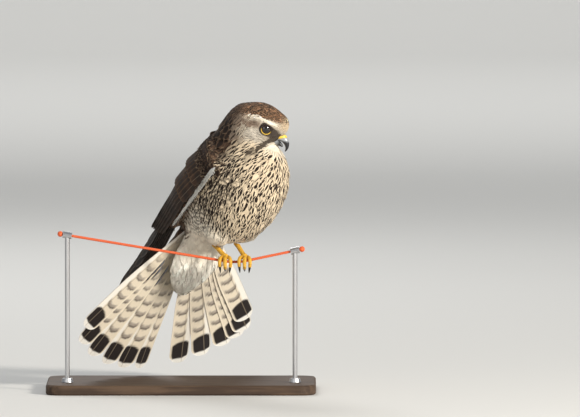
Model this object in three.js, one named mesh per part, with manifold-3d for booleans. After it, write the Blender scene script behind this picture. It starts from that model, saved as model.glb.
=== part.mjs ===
// A common kestrel, life size, perched with its tail fanned on a short length of twine that
// a plain display stand holds up. Millimetres, +Z up. The camera side of the bird is -Y, and
// the origin lies on the underside of the base, straight below the middle of the grip.
import * as THREE from "three";
import { mergeVertices } from "three/addons/utils/BufferGeometryUtils.js";
import Module from "manifold-3d";

const wasm = await Module();
wasm.setup();

const deg = THREE.MathUtils.degToRad;
const { lerp, clamp, smoothstep } = THREE.MathUtils;
const V = (x, y, z) => new THREE.Vector3(x, y, z);

// Stand
const GAP = 0.3; // air between neighbouring solids
const BASE_LENGTH = 270;
const BASE_DEPTH = 150;
const BASE_THICKNESS = 10;
const BASE_CORNER = 16;
const BASE_CENTRE = V(-54, 28, 0);
const BASE_BEVEL = 1.5;
const GRIP_HEIGHT = 131; // middle of the twine between the feet, above the floor
const ROD_RADIUS = 2.4;
const ROD_X = [-168, 60];
const SLEEVE_RADIUS = 3.4;
const SLEEVE_LENGTH = 9;

// Twine: it sags to the grip and rises to a rod on either side
const TWINE_RADIUS = 1.3;
const TWINE_SIDES = 8;
const TWINE_RISE_LEFT = deg(9.4);
const TWINE_RISE_RIGHT = deg(11.8);
const TWINE_FLAT = 2; // half the length that the feet hold level
const TWINE_PAST_ROD = 7;
const KNOT_RADIUS = 3.2;

// How the bird sits
const HEADING = deg(42); // turned from straight at the camera towards +X
const BODY_PITCH = deg(42);
const BODY_CENTRE = V(4.6, 2, GRIP_HEIGHT + 70);

// Torso, in the body frame: x forward, y left, z towards the back
const TORSO_FRONT = 68;
const TORSO_REAR = 90;
const TORSO_HALF_WIDTH = 43;
const TORSO_BACK = 54;
const TORSO_BREAST = 47;
const RUMP_RISE = 15;
const TORSO_ROWS = 14;
const TORSO_SIDES = 22;

// Neck and head
const NECK_START = V(6, 0, 19);
const NECK_RADII = [43, 27];
const NECK_WIDTH_SHARE = [0.94, 0.76];
const NECK_DEPTH_SHARE = 0.98;
const NECK_ROWS = 6;
const NECK_SIDES = 20;
const NECK_END = V(-12, 0, -5); // in the head frame
const HEAD_CENTRE = V(27.7, -23, GRIP_HEIGHT + 140.5);
const HEAD_YAW = deg(14); // bill turned this much from +X towards the camera
const HEAD_PITCH = deg(-24);
const HEAD_BACK = 29;
const HEAD_FRONT = 27.5;
const HEAD_HALF_WIDTH = 19.5;
const HEAD_CROWN = 20;
const HEAD_THROAT = 21;
const HEAD_NARROWING = 0.4; // at the face
const FACE_RISE = 4.5;
const HEAD_ROWS = 12;
const HEAD_SIDES = 20;

// Eyes, set in the head frame
const EYE_RADIUS = 6.4;
const EYE_X = 8;
const EYE_Y = 13.6;
const EYE_Z = -2;
const EYE_TURN = deg(24); // the eye looks this far forward of straight sideways
const LID_RING = 5.1;
const LID_OUT = 0.76; // where the ring of the lids sits, as a share of the eye's radius
const LID_THICKNESS = 0.75;
const BROW_LENGTH = 11;

// Bill, in the head frame
const BILL_BASE = V(22, 0, -6);
const BILL_HALF_WIDTH = 7;
const BILL_HALF_HEIGHT = 6.6;
const BILL_REACH = 12.5;
const CERE_TILT = deg(57); // the cere ends in a plane that leans this far from upright
const CERE_END = 18.3; // its distance from the middle of the head
const LOWER_BILL = { from: [17, -10.3], to: [28.3, -13], radii: [3.1, 2.8, 2.1, 0.9] };
const NOSTRIL = V(24.8, 4.4, -2.6);
const NOSTRIL_RADIUS = 1;

// Tail
const TAIL_ROOT = V(-70, -1, 14);
const TAIL_DROOP = deg(18);
const TAIL_SWING = deg(6.5);
const TAIL_RIGHT_ANGLES = [-46.4, -41.5, -33, -23.9, -15.9, -7.8];
const TAIL_LEFT_ANGLES = [8.7, 17.5, 26, 31, 33.5, 35];
const TAIL_CENTRE_LENGTH = 169;
const TAIL_GRADUATION = [0, 0.5, 1.5, 4, 9, 24]; // each feather shorter than the central one
const TAIL_ROOT_HALF_WIDTH = 12;
const TAIL_FEATHER_HALF_WIDTH = 13.2;
const TAIL_STACK = 1.05; // step between one feather and the next, through the stack
const VANE_THICKNESS = 0.6;
const COVERT_LENGTH = 90;
const COVERT_HALF_WIDTH = [27, 40];
const COVERT_SHIFT = -4;

// Wings, in the body frame: the lower edge runs from the wrist to the tip
const WING_X = [30, -50, -110, -196];
const WING_EDGE_Y = [46, 37, 21, 12.5];
const WING_EDGE_Z = [8, 11, 22, 38];
const WING_TOP_Y = [11, 9, 8, 7.5];
const WING_TOP_Z = [57, 52.5, 42, 36];
const ARM_REAR = -84;
const ARM_FRONT = 30;
const ARM_THICKNESS = 5.5;
const ARM_SINK = [3, 15]; // how far the arm reaches in towards the body, at its rear and its front

const PRIMARIES = 8;
const SECONDARIES = 8;
const COVERTS = 7;
const COVERT_ROOT = 8; // how far forward the coverts start
const COVERT_REACH = 42;

// Legs and feet
const HIP = V(-27, 17, -17); // in the body frame
const THIGH_RADII = [17, 19.5, 18, 13, 8, 4.2]; // from the hip to the ankle
const FOOT_X = [-10, 9.5]; // right foot, left foot, along the twine
const ANKLE = [V(-21, 13, 17), V(1, 18, 18)]; // from the grip
const TARSUS_RADIUS = 2.3;
const TOE_RADIUS = 2.0;
const TOE_LENGTH = { front: [17, 23, 18], back: 12 };
const TOE_SPREAD = [-15, 0, 15];
const TOE_STEP = 3.1;
const CLAW_LENGTH = 9;
const CLAW_RADIUS = 1.3;

const DARK_BROWN = 0x3a2a20;
const BARRED_BROWN = 0x8a5f3d;
const BUFF = 0xd9c3a0;
const CREAM = 0xe6dcc4;
const YELLOW = 0xe2a21f;

// A frame from a forward direction and a left direction, at an origin.
function frameOf(origin, forward, left) {
  const x = forward.clone().normalize();
  const z = x.clone().cross(left).normalize();
  const y = z.clone().cross(x);
  return new THREE.Matrix4().makeBasis(x, y, z).setPosition(origin);
}

const bodyForward = V(
  Math.sin(HEADING) * Math.cos(BODY_PITCH),
  -Math.cos(HEADING) * Math.cos(BODY_PITCH),
  Math.sin(BODY_PITCH),
);
const bodyLeft = V(Math.cos(HEADING), Math.sin(HEADING), 0);
const body = frameOf(BODY_CENTRE, bodyForward, bodyLeft);
const headForward = V(
  Math.cos(HEAD_YAW) * Math.cos(HEAD_PITCH),
  -Math.sin(HEAD_YAW) * Math.cos(HEAD_PITCH),
  Math.sin(HEAD_PITCH),
);
const head = frameOf(HEAD_CENTRE, headForward, V(Math.sin(HEAD_YAW), Math.cos(HEAD_YAW), 0));
const tail = body
  .clone()
  .multiply(new THREE.Matrix4().makeTranslation(TAIL_ROOT.x, TAIL_ROOT.y, TAIL_ROOT.z))
  .multiply(new THREE.Matrix4().makeRotationZ(-TAIL_SWING))
  .multiply(new THREE.Matrix4().makeRotationY(-TAIL_DROOP));
const at = (frame, x, y, z) => V(x, y, z).applyMatrix4(frame);
const grip = (x, y, z) => V(x, y, z + GRIP_HEIGHT);

// Solids and geometry
function solidOf(geometry) {
  const plain = new THREE.BufferGeometry();
  plain.setAttribute("position", geometry.getAttribute("position"));
  if (geometry.index) plain.setIndex(geometry.index);
  const merged = mergeVertices(plain, 1e-4);
  return new wasm.Manifold(
    new wasm.Mesh({
      numProp: 3,
      vertProperties: new Float32Array(merged.attributes.position.array),
      triVerts: new Uint32Array(merged.index.array),
    }),
  );
}

function geometryOf(solid) {
  const mesh = solid.getMesh();
  return new THREE.BufferGeometry()
    .setAttribute("position", new THREE.BufferAttribute(new Float32Array(mesh.vertProperties), 3))
    .setIndex(new THREE.BufferAttribute(new Uint32Array(mesh.triVerts), 1));
}

const fuse = (solids) => solids.reduce((sum, next) => sum.add(next));
const cut = (solid, cutters) => cutters.reduce((rest, cutter) => rest.subtract(cutter), solid);

function largest(solid) {
  const pieces = solid.decompose();
  return pieces.reduce((best, next) => (next.volume() > best.volume() ? next : best));
}

// The same triangles with their faces turned the other way.
const turnedOver = (index) => index.map((_, i) => index[i % 3 === 0 ? i : i % 3 === 1 ? i + 1 : i - 1]);

// A closed surface through rings of equally many points, drawn in to a point at each end.
function loft(rings) {
  const sides = rings[0].length;
  const middle = (ring) => ring.reduce((sum, p) => sum.add(p), V(0, 0, 0)).divideScalar(sides);
  const points = [middle(rings[0]), ...rings.flat(), middle(rings[rings.length - 1])];
  const last = points.length - 1;
  const index = [];
  const corner = (row, side) => 1 + row * sides + (side % sides);
  for (let side = 0; side < sides; side++) {
    index.push(0, corner(0, side + 1), corner(0, side));
    index.push(last, corner(rings.length - 1, side), corner(rings.length - 1, side + 1));
    for (let row = 0; row + 1 < rings.length; row++) {
      const [a, b] = [corner(row, side), corner(row, side + 1)];
      const [c, d] = [corner(row + 1, side), corner(row + 1, side + 1)];
      index.push(a, b, d, a, d, c);
    }
  }
  const made = solidOf(new THREE.BufferGeometry().setFromPoints(points).setIndex(index));
  if (made.volume() > 0) return made;
  return solidOf(new THREE.BufferGeometry().setFromPoints(points).setIndex(turnedOver(index)));
}

// A closed sheet over a grid of u and v from 0 to 1, split alike on both faces.
function sheet(columns, rows, pointAt) {
  const points = [];
  const index = [];
  const corner = (i, j, face) => (i * (rows + 1) + j) * 2 + face;
  for (let i = 0; i <= columns; i++)
    for (let j = 0; j <= rows; j++)
      for (const side of [-1, 1]) points.push(pointAt(i / columns, j / rows, side));
  const quad = (a, b, c, d) => index.push(a, b, c, a, c, d);
  for (let i = 0; i < columns; i++)
    for (let j = 0; j < rows; j++) {
      quad(corner(i, j, 1), corner(i + 1, j, 1), corner(i + 1, j + 1, 1), corner(i, j + 1, 1));
      index.push(corner(i, j, 0), corner(i + 1, j + 1, 0), corner(i + 1, j, 0));
      index.push(corner(i, j, 0), corner(i, j + 1, 0), corner(i + 1, j + 1, 0));
    }
  for (let i = 0; i < columns; i++) {
    quad(corner(i, 0, 0), corner(i + 1, 0, 0), corner(i + 1, 0, 1), corner(i, 0, 1));
    quad(corner(i + 1, rows, 0), corner(i, rows, 0), corner(i, rows, 1), corner(i + 1, rows, 1));
  }
  for (let j = 0; j < rows; j++) {
    quad(corner(0, j + 1, 0), corner(0, j, 0), corner(0, j, 1), corner(0, j + 1, 1));
    const [low, high] = [corner(columns, j, 0), corner(columns, j + 1, 0)];
    quad(low, high, corner(columns, j + 1, 1), corner(columns, j, 1));
  }
  const made = solidOf(new THREE.BufferGeometry().setFromPoints(points).setIndex(index));
  if (made.volume() > 0) return made;
  return solidOf(new THREE.BufferGeometry().setFromPoints(points).setIndex(turnedOver(index)));
}

// A round limb along points, each with its radius.
function limb(points, radii, sides, hint = V(0, 0, 1)) {
  const rings = points.map((p, i) => {
    const along = points[Math.min(i + 1, points.length - 1)].clone().sub(points[Math.max(i - 1, 0)]);
    const across = along.clone().cross(hint).normalize();
    const up = across.clone().cross(along).normalize();
    return Array.from({ length: sides }, (_, k) => {
      const turn = (2 * Math.PI * k) / sides;
      const out = across.clone().multiplyScalar(Math.cos(turn)).addScaledVector(up, Math.sin(turn));
      return p.clone().addScaledVector(out, radii[i]);
    });
  });
  return loft(rings);
}

// One flight or tail feather: its middle line and face direction by v, wide and narrow vane.
function feather({ line, face, outer, inner, stations, flat, tilt = 0 }) {
  const width = (v) => {
    const taper = lerp(0.42, 1, smoothstep(v, 0, 0.62));
    return taper * Math.sqrt(clamp(1 - Math.pow(clamp((v - 0.86) / 0.155, 0, 1), 2), 0.1, 1));
  };
  const ease = (v) => 1 - Math.pow(1 - v, 1.55);
  return sheet(2, stations, (u, row, side) => {
    const v = ease(row);
    const centre = line(v);
    const along = line(Math.min(v + 0.01, 1.01)).sub(line(v - 0.01)).normalize();
    const out = face(v).clone().normalize();
    const across = out.clone().cross(along).normalize();
    const reach = (u - 0.5) * 2;
    const half = width(v) * (reach < 0 ? outer : inner);
    const lift = tilt * reach - flat * Math.abs(reach) * width(v);
    centre.addScaledVector(across, reach * half);
    return centre.addScaledVector(out, lift + (side * VANE_THICKNESS) / 2);
  });
}

// Torso
const profile = (t) =>
  t > 0 ? Math.pow(1 - Math.pow(t, 2.2), 0.5) : Math.pow(1 - Math.pow(-t, 1.9), 0.6);

function torsoPoint(t, turn, grow) {
  const size = profile(t);
  const x = t * (t > 0 ? TORSO_FRONT : TORSO_REAR) + grow * Math.sign(t) * (1 - size);
  const high = Math.sin(turn) > 0 ? TORSO_BACK : TORSO_BREAST;
  const rise = RUMP_RISE * smoothstep(-t, 0.15, 1);
  return at(
    body,
    x,
    Math.cos(turn) * (TORSO_HALF_WIDTH * size + grow),
    rise + Math.sin(turn) * ((high - rise * 0.4) * size + grow),
  );
}

function makeTorso(grow = 0) {
  const rings = [];
  for (let row = 0; row <= TORSO_ROWS; row++) {
    const t = -Math.cos(lerp(0.12, Math.PI - 0.12, row / TORSO_ROWS));
    rings.push(
      Array.from({ length: TORSO_SIDES }, (_, k) => torsoPoint(t, (2 * Math.PI * k) / TORSO_SIDES, grow)),
    );
  }
  return loft(rings);
}

// Head
function makeHead(grow = 0) {
  const rings = [];
  for (let row = 0; row <= HEAD_ROWS; row++) {
    const t = -Math.cos(lerp(0.14, Math.PI - 0.16, row / HEAD_ROWS));
    const size = t > 0 ? Math.pow(1 - Math.pow(t, 2.1), 0.56) : Math.pow(1 - t * t, 0.5);
    const x = t * (t > 0 ? HEAD_FRONT : HEAD_BACK) + grow * Math.sign(t) * (1 - size);
    const narrow = 1 - HEAD_NARROWING * smoothstep(t, 0.35, 1);
    rings.push(
      Array.from({ length: HEAD_SIDES }, (_, k) => {
        const turn = (2 * Math.PI * k) / HEAD_SIDES;
        const high = Math.sin(turn) > 0 ? HEAD_CROWN : HEAD_THROAT;
        return at(
          head,
          x,
          Math.cos(turn) * (HEAD_HALF_WIDTH * size * narrow + grow),
          Math.sin(turn) * (high * size + grow) + FACE_RISE * smoothstep(t, 0.4, 1),
        );
      }),
    );
  }
  return loft(rings);
}

const eyeCentre = (side) => at(head, EYE_X, side * EYE_Y, EYE_Z);
const eyeLook = (side) =>
  V(Math.sin(EYE_TURN), side * Math.cos(EYE_TURN), 0.02).transformDirection(head);

function makeBall(centre, radius, detail = 16) {
  const ball = new THREE.SphereGeometry(radius, detail, Math.round(detail * 0.7));
  return solidOf(ball.translate(centre.x, centre.y, centre.z));
}

function makeLid(side) {
  const ring = new THREE.TorusGeometry(LID_RING, LID_THICKNESS, 5, 16);
  ring.applyQuaternion(new THREE.Quaternion().setFromUnitVectors(V(0, 0, 1), eyeLook(side)));
  const centre = eyeCentre(side).addScaledVector(eyeLook(side), EYE_RADIUS * LID_OUT);
  return solidOf(ring.translate(centre.x, centre.y, centre.z));
}

function makeBrow(side) {
  const steps = 6;
  const points = Array.from({ length: steps + 1 }, (_, i) => {
    const t = i / steps - 0.5;
    const y = EYE_Y + 3.2 - 9 * t * t - 2.2 * t;
    return at(head, EYE_X + 1.5 + t * BROW_LENGTH, side * y, EYE_Z + 5.6 - 5 * t * t);
  });
  const radii = points.map((_, i) => 2.4 * Math.sin((Math.PI * (i + 0.6)) / (steps + 1.2)) + 0.4);
  return limb(points, radii, 8);
}

// The upper bill bends down to its hook: v runs from the base to the tip.
function billPoint(v) {
  const angle = deg(-20) + deg(124) * Math.pow(Math.max(v, 0), 1.1);
  const drop = 9.5 * (1 - Math.cos(angle));
  return at(head, BILL_BASE.x - 1.5 + BILL_REACH * Math.sin(angle), 0, BILL_BASE.z + 1 - drop);
}

function makeBill(grow = 0) {
  const rows = 11;
  const rings = [];
  for (let row = 0; row <= rows; row++) {
    const v = row / rows;
    const centre = billPoint(v);
    const along = billPoint(v + 0.02).sub(billPoint(v - 0.02)).normalize();
    const left = V(0, 1, 0).transformDirection(head);
    const up = along.clone().cross(left).normalize();
    const wide = BILL_HALF_WIDTH * Math.pow(1 - v, 1.1) + 0.35 + grow;
    const tall = BILL_HALF_HEIGHT * Math.pow(1 - v, 0.95) + 0.35 + grow;
    rings.push(
      Array.from({ length: 14 }, (_, k) => {
        const turn = (2 * Math.PI * k) / 14;
        return centre
          .clone()
          .addScaledVector(left, wide * Math.cos(turn))
          .addScaledVector(up, tall * Math.sin(turn) * (Math.sin(turn) > 0 ? 1 : 0.75));
      }),
    );
  }
  return loft(rings);
}

function makeLowerBill(grow = 0) {
  const { from, to, radii } = LOWER_BILL;
  const points = [0, 0.35, 0.7, 1].map((v) =>
    at(head, lerp(from[0], to[0], v), 0, lerp(from[1], to[1], v)),
  );
  return limb(points, radii.map((r) => r + grow), 12, V(0, 1, 0).transformDirection(head));
}

// Half-space cutter: a large box whose near face stands at a distance along a direction.
function slabAlong(frame, x, depth, size = 60) {
  const box = new THREE.BoxGeometry(depth, size, size).translate(x + depth / 2, 0, 0);
  return solidOf(box.applyMatrix4(frame));
}

// Tail
function tailFeather(angle, rank, side) {
  const length = TAIL_CENTRE_LENGTH - TAIL_GRADUATION[rank];
  const turn = deg(angle);
  const rootY = side * lerp(2.4, TAIL_ROOT_HALF_WIDTH, rank / 5);
  const level = -TAIL_STACK * (rank - 2.5);
  return feather({
    line: (v) =>
      at(tail, -v * length * Math.cos(turn), rootY + v * length * Math.sin(turn), level - 5 * v * v),
    face: () => V(0, 0, -1).transformDirection(tail),
    outer: TAIL_FEATHER_HALF_WIDTH * (side > 0 ? 1.15 : 0.62),
    inner: TAIL_FEATHER_HALF_WIDTH * (side > 0 || rank === 0 ? 0.62 : 1.15),
    stations: 6,
    flat: 0.25,
  });
}

function makeTailHalf(side) {
  const angles = side > 0 ? TAIL_LEFT_ANGLES : [...TAIL_RIGHT_ANGLES].reverse();
  const feathers = angles.map((angle, rank) => tailFeather(angle, rank, side));
  const rootBlock = sheet(3, 4, (u, v, face) =>
    at(
      tail,
      8 - 40 * v,
      side * (0.6 + u * (TAIL_ROOT_HALF_WIDTH + 2 + 15 * v)),
      face * (3.6 - 0.5 * v) - 0.2,
    ),
  );
  return fuse([rootBlock, ...feathers]);
}

function makeTailCoverts(under) {
  const rings = [];
  const rows = 9;
  const [length, start, thick] = under ? [COVERT_LENGTH, 10, 17] : [COVERT_LENGTH * 0.5, 4, 7];
  const share = under ? 1 : 0.5;
  for (let row = 0; row <= rows; row++) {
    const t = row / rows;
    const size = Math.pow(Math.sin(Math.PI * lerp(0.22, 0.985, t)), 0.8);
    const level = (under ? -1 : 1) * (4.1 + thick * 0.42 * size);
    rings.push(
      Array.from({ length: 16 }, (_, k) => {
        const turn = (2 * Math.PI * k) / 16;
        const flatSide = (under ? Math.sin(turn) > 0 : Math.sin(turn) < 0) ? 0.4 : 1;
        return at(
          tail,
          start - length * t,
          COVERT_SHIFT * t + Math.cos(turn) * lerp(...COVERT_HALF_WIDTH, t) * size * share,
          level + Math.sin(turn) * thick * size * flatSide - (under ? 5 * t * t : 3 * t * t) * 0.6,
        );
      }),
    );
  }
  return loft(rings);
}

// Wing surface: b runs from the lower edge (0) round to the back (1)
function along(table, x) {
  const i = WING_X.findIndex((_, k) => k + 2 >= WING_X.length || x >= WING_X[k + 1]);
  const t = (x - WING_X[i]) / (WING_X[i + 1] - WING_X[i]);
  return lerp(table[i], table[i + 1], t);
}

function wingPoint(side, x, b, lift) {
  const [ey, ez] = [along(WING_EDGE_Y, x), along(WING_EDGE_Z, x)];
  const [ty, tz] = [along(WING_TOP_Y, x), along(WING_TOP_Z, x)];
  const turn = (b * Math.PI) / 2;
  const y = ty + (ey - ty) * Math.cos(turn) + lift * Math.cos(turn * 0.9);
  const z = ez + (tz - ez) * Math.sin(turn) + lift * Math.sin(turn * 0.9);
  return at(body, x, side * y, z);
}

function wingFace(side, x, b) {
  return wingPoint(side, x, b, 1).sub(wingPoint(side, x, b, 0)).normalize();
}

function wingArm(side) {
  return sheet(6, 6, (u, v, face) => {
    const x = lerp(ARM_REAR, ARM_FRONT, v);
    const pinch = Math.pow(Math.sin(Math.PI * clamp(lerp(0.06, 0.94, u), 0, 1)), 0.5);
    const ends = Math.pow(Math.sin(Math.PI * clamp(lerp(0.2, 0.97, v), 0, 1)), 0.5);
    const depth = lerp(ARM_SINK[0], ARM_SINK[1], smoothstep(x, -62, -25));
    const lift = face > 0 ? ARM_THICKNESS * pinch * ends * 0.8 : -1.2 - depth * ends;
    return wingPoint(side, x, lerp(0.02, 0.9, u), lift);
  });
}

// A feather laid on the wing from a root to a tip, each (x, b), with a lift at either end.
function wingFeather(side, root, tip, lifts, widths, stations, tilt = 0.35) {
  const place = (v) => {
    const x = lerp(root[0], tip[0], v);
    const b = lerp(root[1], tip[1], v);
    return wingPoint(side, x, b, lerp(lifts[0], lifts[1], v));
  };
  return feather({
    line: place,
    face: (v) => wingFace(side, lerp(root[0], tip[0], v), lerp(root[1], tip[1], v)),
    outer: side > 0 ? widths[1] : widths[0],
    inner: side > 0 ? widths[0] : widths[1],
    stations,
    tilt: side * tilt,
    flat: 0.3,
  });
}

function makeWing(side) {
  const parts = [wingArm(side)];
  for (let i = 0; i < PRIMARIES; i++) {
    const t = i / (PRIMARIES - 1);
    const short = i === 0 ? 12 : 7 * Math.max(0, i - 2) + 5 * Math.pow(Math.max(0, i - 2), 1.2);
    const level = -2.6 + 0.95 * i;
    const tip = [WING_X[3] + short, lerp(0.12, 0.42, t)];
    const root = [-36, lerp(0.1, 0.5, t)];
    parts.push(wingFeather(side, root, tip, [level * 0.5, level], [7.4, 9.4], 3, 0));
  }
  for (let i = 0; i < SECONDARIES; i++) {
    const t = i / (SECONDARIES - 1);
    const tip = [lerp(-92, -112, Math.pow(t, 0.8)), lerp(0.22, 0.86, t)];
    const root = [lerp(-20, -38, t), lerp(0.16, 0.84, t)];
    parts.push(wingFeather(side, root, tip, [2.4, 5.4 + 0.3 * i], [8, 9.5], 3, 0.55));
  }
  for (let i = 0; i < COVERTS; i++) {
    const t = (i + 0.5) / COVERTS;
    const b = lerp(0.06, 0.86, t);
    const root = [COVERT_ROOT - 6 * t, b];
    const tip = [COVERT_ROOT - COVERT_REACH - 10 * t, b + 0.02];
    parts.push(wingFeather(side, root, tip, [2.2, 6], [7.5, 7.5], 2, 0.6));
  }
  return fuse(parts);
}

// Twine
function twinePoint(x) {
  const rise = x < 0 ? TWINE_RISE_LEFT : TWINE_RISE_RIGHT;
  const past = Math.max(0, Math.abs(x) - TWINE_FLAT);
  const soft = past * past > 64 ? past - 4 : (past * past) / 16;
  return grip(x, 0, Math.tan(rise) * soft);
}

function makeTwine(radius) {
  const [x0, x1] = [ROD_X[0] - TWINE_PAST_ROD, ROD_X[1] + TWINE_PAST_ROD];
  const steps = 18;
  const xs = Array.from({ length: steps + 1 }, (_, i) => {
    const t = i / steps;
    return t < 0.5 ? lerp(x0, 0, Math.sin(Math.PI * t)) : lerp(0, x1, 1 - Math.sin(Math.PI * t));
  });
  const points = xs.map(twinePoint);
  return limb(points, points.map(() => radius), TWINE_SIDES);
}

function makePerch() {
  const ends = [ROD_X[0] - TWINE_PAST_ROD - 1, ROD_X[1] + TWINE_PAST_ROD + 1];
  return fuse([makeTwine(TWINE_RADIUS), ...ends.map((x) => makeBall(twinePoint(x), KNOT_RADIUS, 10))]);
}

// Stand
function makeBase() {
  const [w, d, r] = [BASE_LENGTH / 2 - BASE_BEVEL, BASE_DEPTH / 2 - BASE_BEVEL, BASE_CORNER];
  const shape = new THREE.Shape();
  shape.moveTo(-w + r, -d).lineTo(w - r, -d).absarc(w - r, -d + r, r, -Math.PI / 2, 0);
  shape.lineTo(w, d - r).absarc(w - r, d - r, r, 0, Math.PI / 2);
  shape.lineTo(-w + r, d).absarc(-w + r, d - r, r, Math.PI / 2, Math.PI);
  shape.lineTo(-w, -d + r).absarc(-w + r, -d + r, r, Math.PI, Math.PI * 1.5);
  const plate = new THREE.ExtrudeGeometry(shape, {
    depth: BASE_THICKNESS - 2 * BASE_BEVEL,
    bevelSize: BASE_BEVEL,
    bevelThickness: BASE_BEVEL,
    bevelSegments: 1,
    curveSegments: 6,
  });
  plate.translate(BASE_CENTRE.x, BASE_CENTRE.y, BASE_BEVEL);
  return solidOf(plate);
}

function makeRod(index) {
  const x = ROD_X[index];
  const top = twinePoint(x);
  const foot = BASE_THICKNESS + GAP;
  const rod = new THREE.CylinderGeometry(ROD_RADIUS, ROD_RADIUS, top.z - foot, 16);
  rod.rotateX(Math.PI / 2).translate(x, 0, (top.z + foot) / 2);
  const collar = new THREE.CylinderGeometry(ROD_RADIUS * 2.1, ROD_RADIUS * 2.5, 4, 20);
  collar.rotateX(Math.PI / 2).translate(x, 0, foot + 2);
  const lean = index === 0 ? TWINE_RISE_LEFT : -TWINE_RISE_RIGHT;
  const sleeve = new THREE.CylinderGeometry(SLEEVE_RADIUS, SLEEVE_RADIUS, SLEEVE_LENGTH, 16);
  sleeve.rotateZ(Math.PI / 2).rotateY(lean).translate(x, 0, top.z);
  return fuse([rod, collar, sleeve].map(solidOf)).subtract(makeTwine(TWINE_RADIUS + GAP));
}

// Legs: the toes reach over the twine and close round it, the hind toe closes from behind
function toeLine(foot, lane, turn, length, forward) {
  const steps = 5;
  const radius = 4.9;
  const heading = V(Math.sin(turn), -Math.cos(turn) * forward, 0);
  const lateral = V(Math.cos(turn), Math.sin(turn) * forward, 0);
  return Array.from({ length: steps + 1 }, (_, i) => {
    const s = (i / steps) * length;
    const straight = Math.min(s, length * 0.34);
    const bend = (s - straight) / radius;
    const q = straight + radius * Math.sin(bend);
    const drop = radius * (1 - Math.cos(bend)) + 0.12 * straight;
    return twinePoint(foot)
      .add(V(0, 0, TWINE_RADIUS + TOE_RADIUS + GAP + 0.5))
      .addScaledVector(heading, q * 0.92)
      .addScaledVector(lateral, lane)
      .add(V(0, 0, -drop));
  });
}

function toesOf(foot) {
  const front = TOE_SPREAD.map((turn, i) =>
    toeLine(foot, (i - 1) * TOE_STEP, deg(turn), TOE_LENGTH.front[i], 1),
  );
  return [...front, toeLine(foot, 0.4, deg(-6), TOE_LENGTH.back, -1)];
}

function makeFoot(index) {
  const foot = FOOT_X[index];
  const toes = toesOf(foot).map((points) =>
    limb(points, points.map((_, i) => TOE_RADIUS * (1 - 0.035 * i) + (i % 2 ? 0.16 : 0)), 7, V(1, 0, 0)),
  );
  const pad = makeBall(twinePoint(foot).add(V(0, 0.4, TWINE_RADIUS + TOE_RADIUS + 1.2)), 3.4, 12);
  return fuse([pad, ...toes]).subtract(makeTwine(TWINE_RADIUS + GAP));
}

function clawLine(points) {
  const tip = points[points.length - 1];
  const last = tip.clone().sub(points[points.length - 2]).normalize();
  const bendTo = V(0, -Math.sign(tip.y) || 1, 0);
  return Array.from({ length: 6 }, (_, i) => {
    const s = (i / 5) * CLAW_LENGTH;
    const turn = s / 8.5;
    return tip
      .clone()
      .addScaledVector(last, GAP + 8.5 * Math.sin(turn))
      .addScaledVector(bendTo, 8.5 * (1 - Math.cos(turn)));
  });
}

function makeTarsus(index, grow = 0) {
  const top = grip(ANKLE[index].x, ANKLE[index].y, ANKLE[index].z);
  const bottom = twinePoint(FOOT_X[index]).add(V(0, 0.4, TWINE_RADIUS + TOE_RADIUS + 1.2));
  const points = [0, 0.3, 0.7, 1 + grow * 0.05].map((t) => top.clone().lerp(bottom, t));
  return limb(points, [2.9, TARSUS_RADIUS, TARSUS_RADIUS, 2.6].map((r) => r + grow), 12);
}

function makeThigh(index, grow = 0) {
  const ankle = grip(ANKLE[index].x, ANKLE[index].y, ANKLE[index].z);
  const side = index === 0 ? -1 : 1;
  const hip = at(body, HIP.x, side * HIP.y, HIP.z);
  const points = [0, 0.25, 0.5, 0.75, 0.92, 1 + grow * 0.02].map((t) => hip.clone().lerp(ankle, t));
  return limb(points, THIGH_RADII.map((r) => r + grow), 14);
}

// Assembly
const headCutter = makeHead(GAP);
const tarsusCutters = [0, 1].map((i) => makeTarsus(i, GAP));
const torso = cut(makeTorso(), [headCutter, makeLowerBill(GAP), ...tarsusCutters]);
const torsoGrown = makeTorso(GAP);
const neckEnd = at(head, NECK_END.x, NECK_END.y, NECK_END.z);

function makeNeck(grow) {
  const start = at(body, NECK_START.x, NECK_START.y, NECK_START.z);
  const rings = [];
  for (let row = 0; row <= NECK_ROWS; row++) {
    const t = row / NECK_ROWS;
    const centre = start.clone().lerp(neckEnd, t);
    const axis = neckEnd.clone().sub(start).normalize();
    const left = bodyLeft.clone().lerp(V(Math.sin(HEAD_YAW), Math.cos(HEAD_YAW), 0), t).normalize();
    const up = axis.clone().cross(left).normalize();
    const radius = lerp(NECK_RADII[0], NECK_RADII[1], Math.pow(t, 0.85)) + grow;
    rings.push(
      Array.from({ length: NECK_SIDES }, (_, k) => {
        const turn = (2 * Math.PI * k) / NECK_SIDES;
        return centre
          .clone()
          .addScaledVector(left, Math.cos(turn) * radius * lerp(...NECK_WIDTH_SHARE, t))
          .addScaledVector(up, Math.sin(turn) * radius * NECK_DEPTH_SHARE);
      }),
    );
  }
  return loft(rings);
}

const group = new THREE.Group();
function place(name, solid, color, roughness = 0.8, metalness = 0) {
  const material = new THREE.MeshStandardMaterial({ color, roughness, metalness });
  const mesh = new THREE.Mesh(geometryOf(largest(solid)), material);
  mesh.name = name;
  group.add(mesh);
}

place("stand_base", makeBase(), 0x2c2a28, 0.5);
place("stand_rod_left", makeRod(0), 0xb9bcc0, 0.3, 0.9);
place("stand_rod_right", makeRod(1), 0xb9bcc0, 0.3, 0.9);
place("perch_twine", makePerch(), 0xe2552c, 0.7);

const middleGap = solidOf(new THREE.BoxGeometry(400, 2 * GAP, 60).applyMatrix4(tail));
const tails = {
  right: makeTailHalf(-1).subtract(middleGap),
  left: makeTailHalf(1).subtract(middleGap),
};
place("torso", torso, BUFF);
for (const [name, solid] of Object.entries(tails)) place("tail_" + name, solid.subtract(torsoGrown), CREAM);

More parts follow.
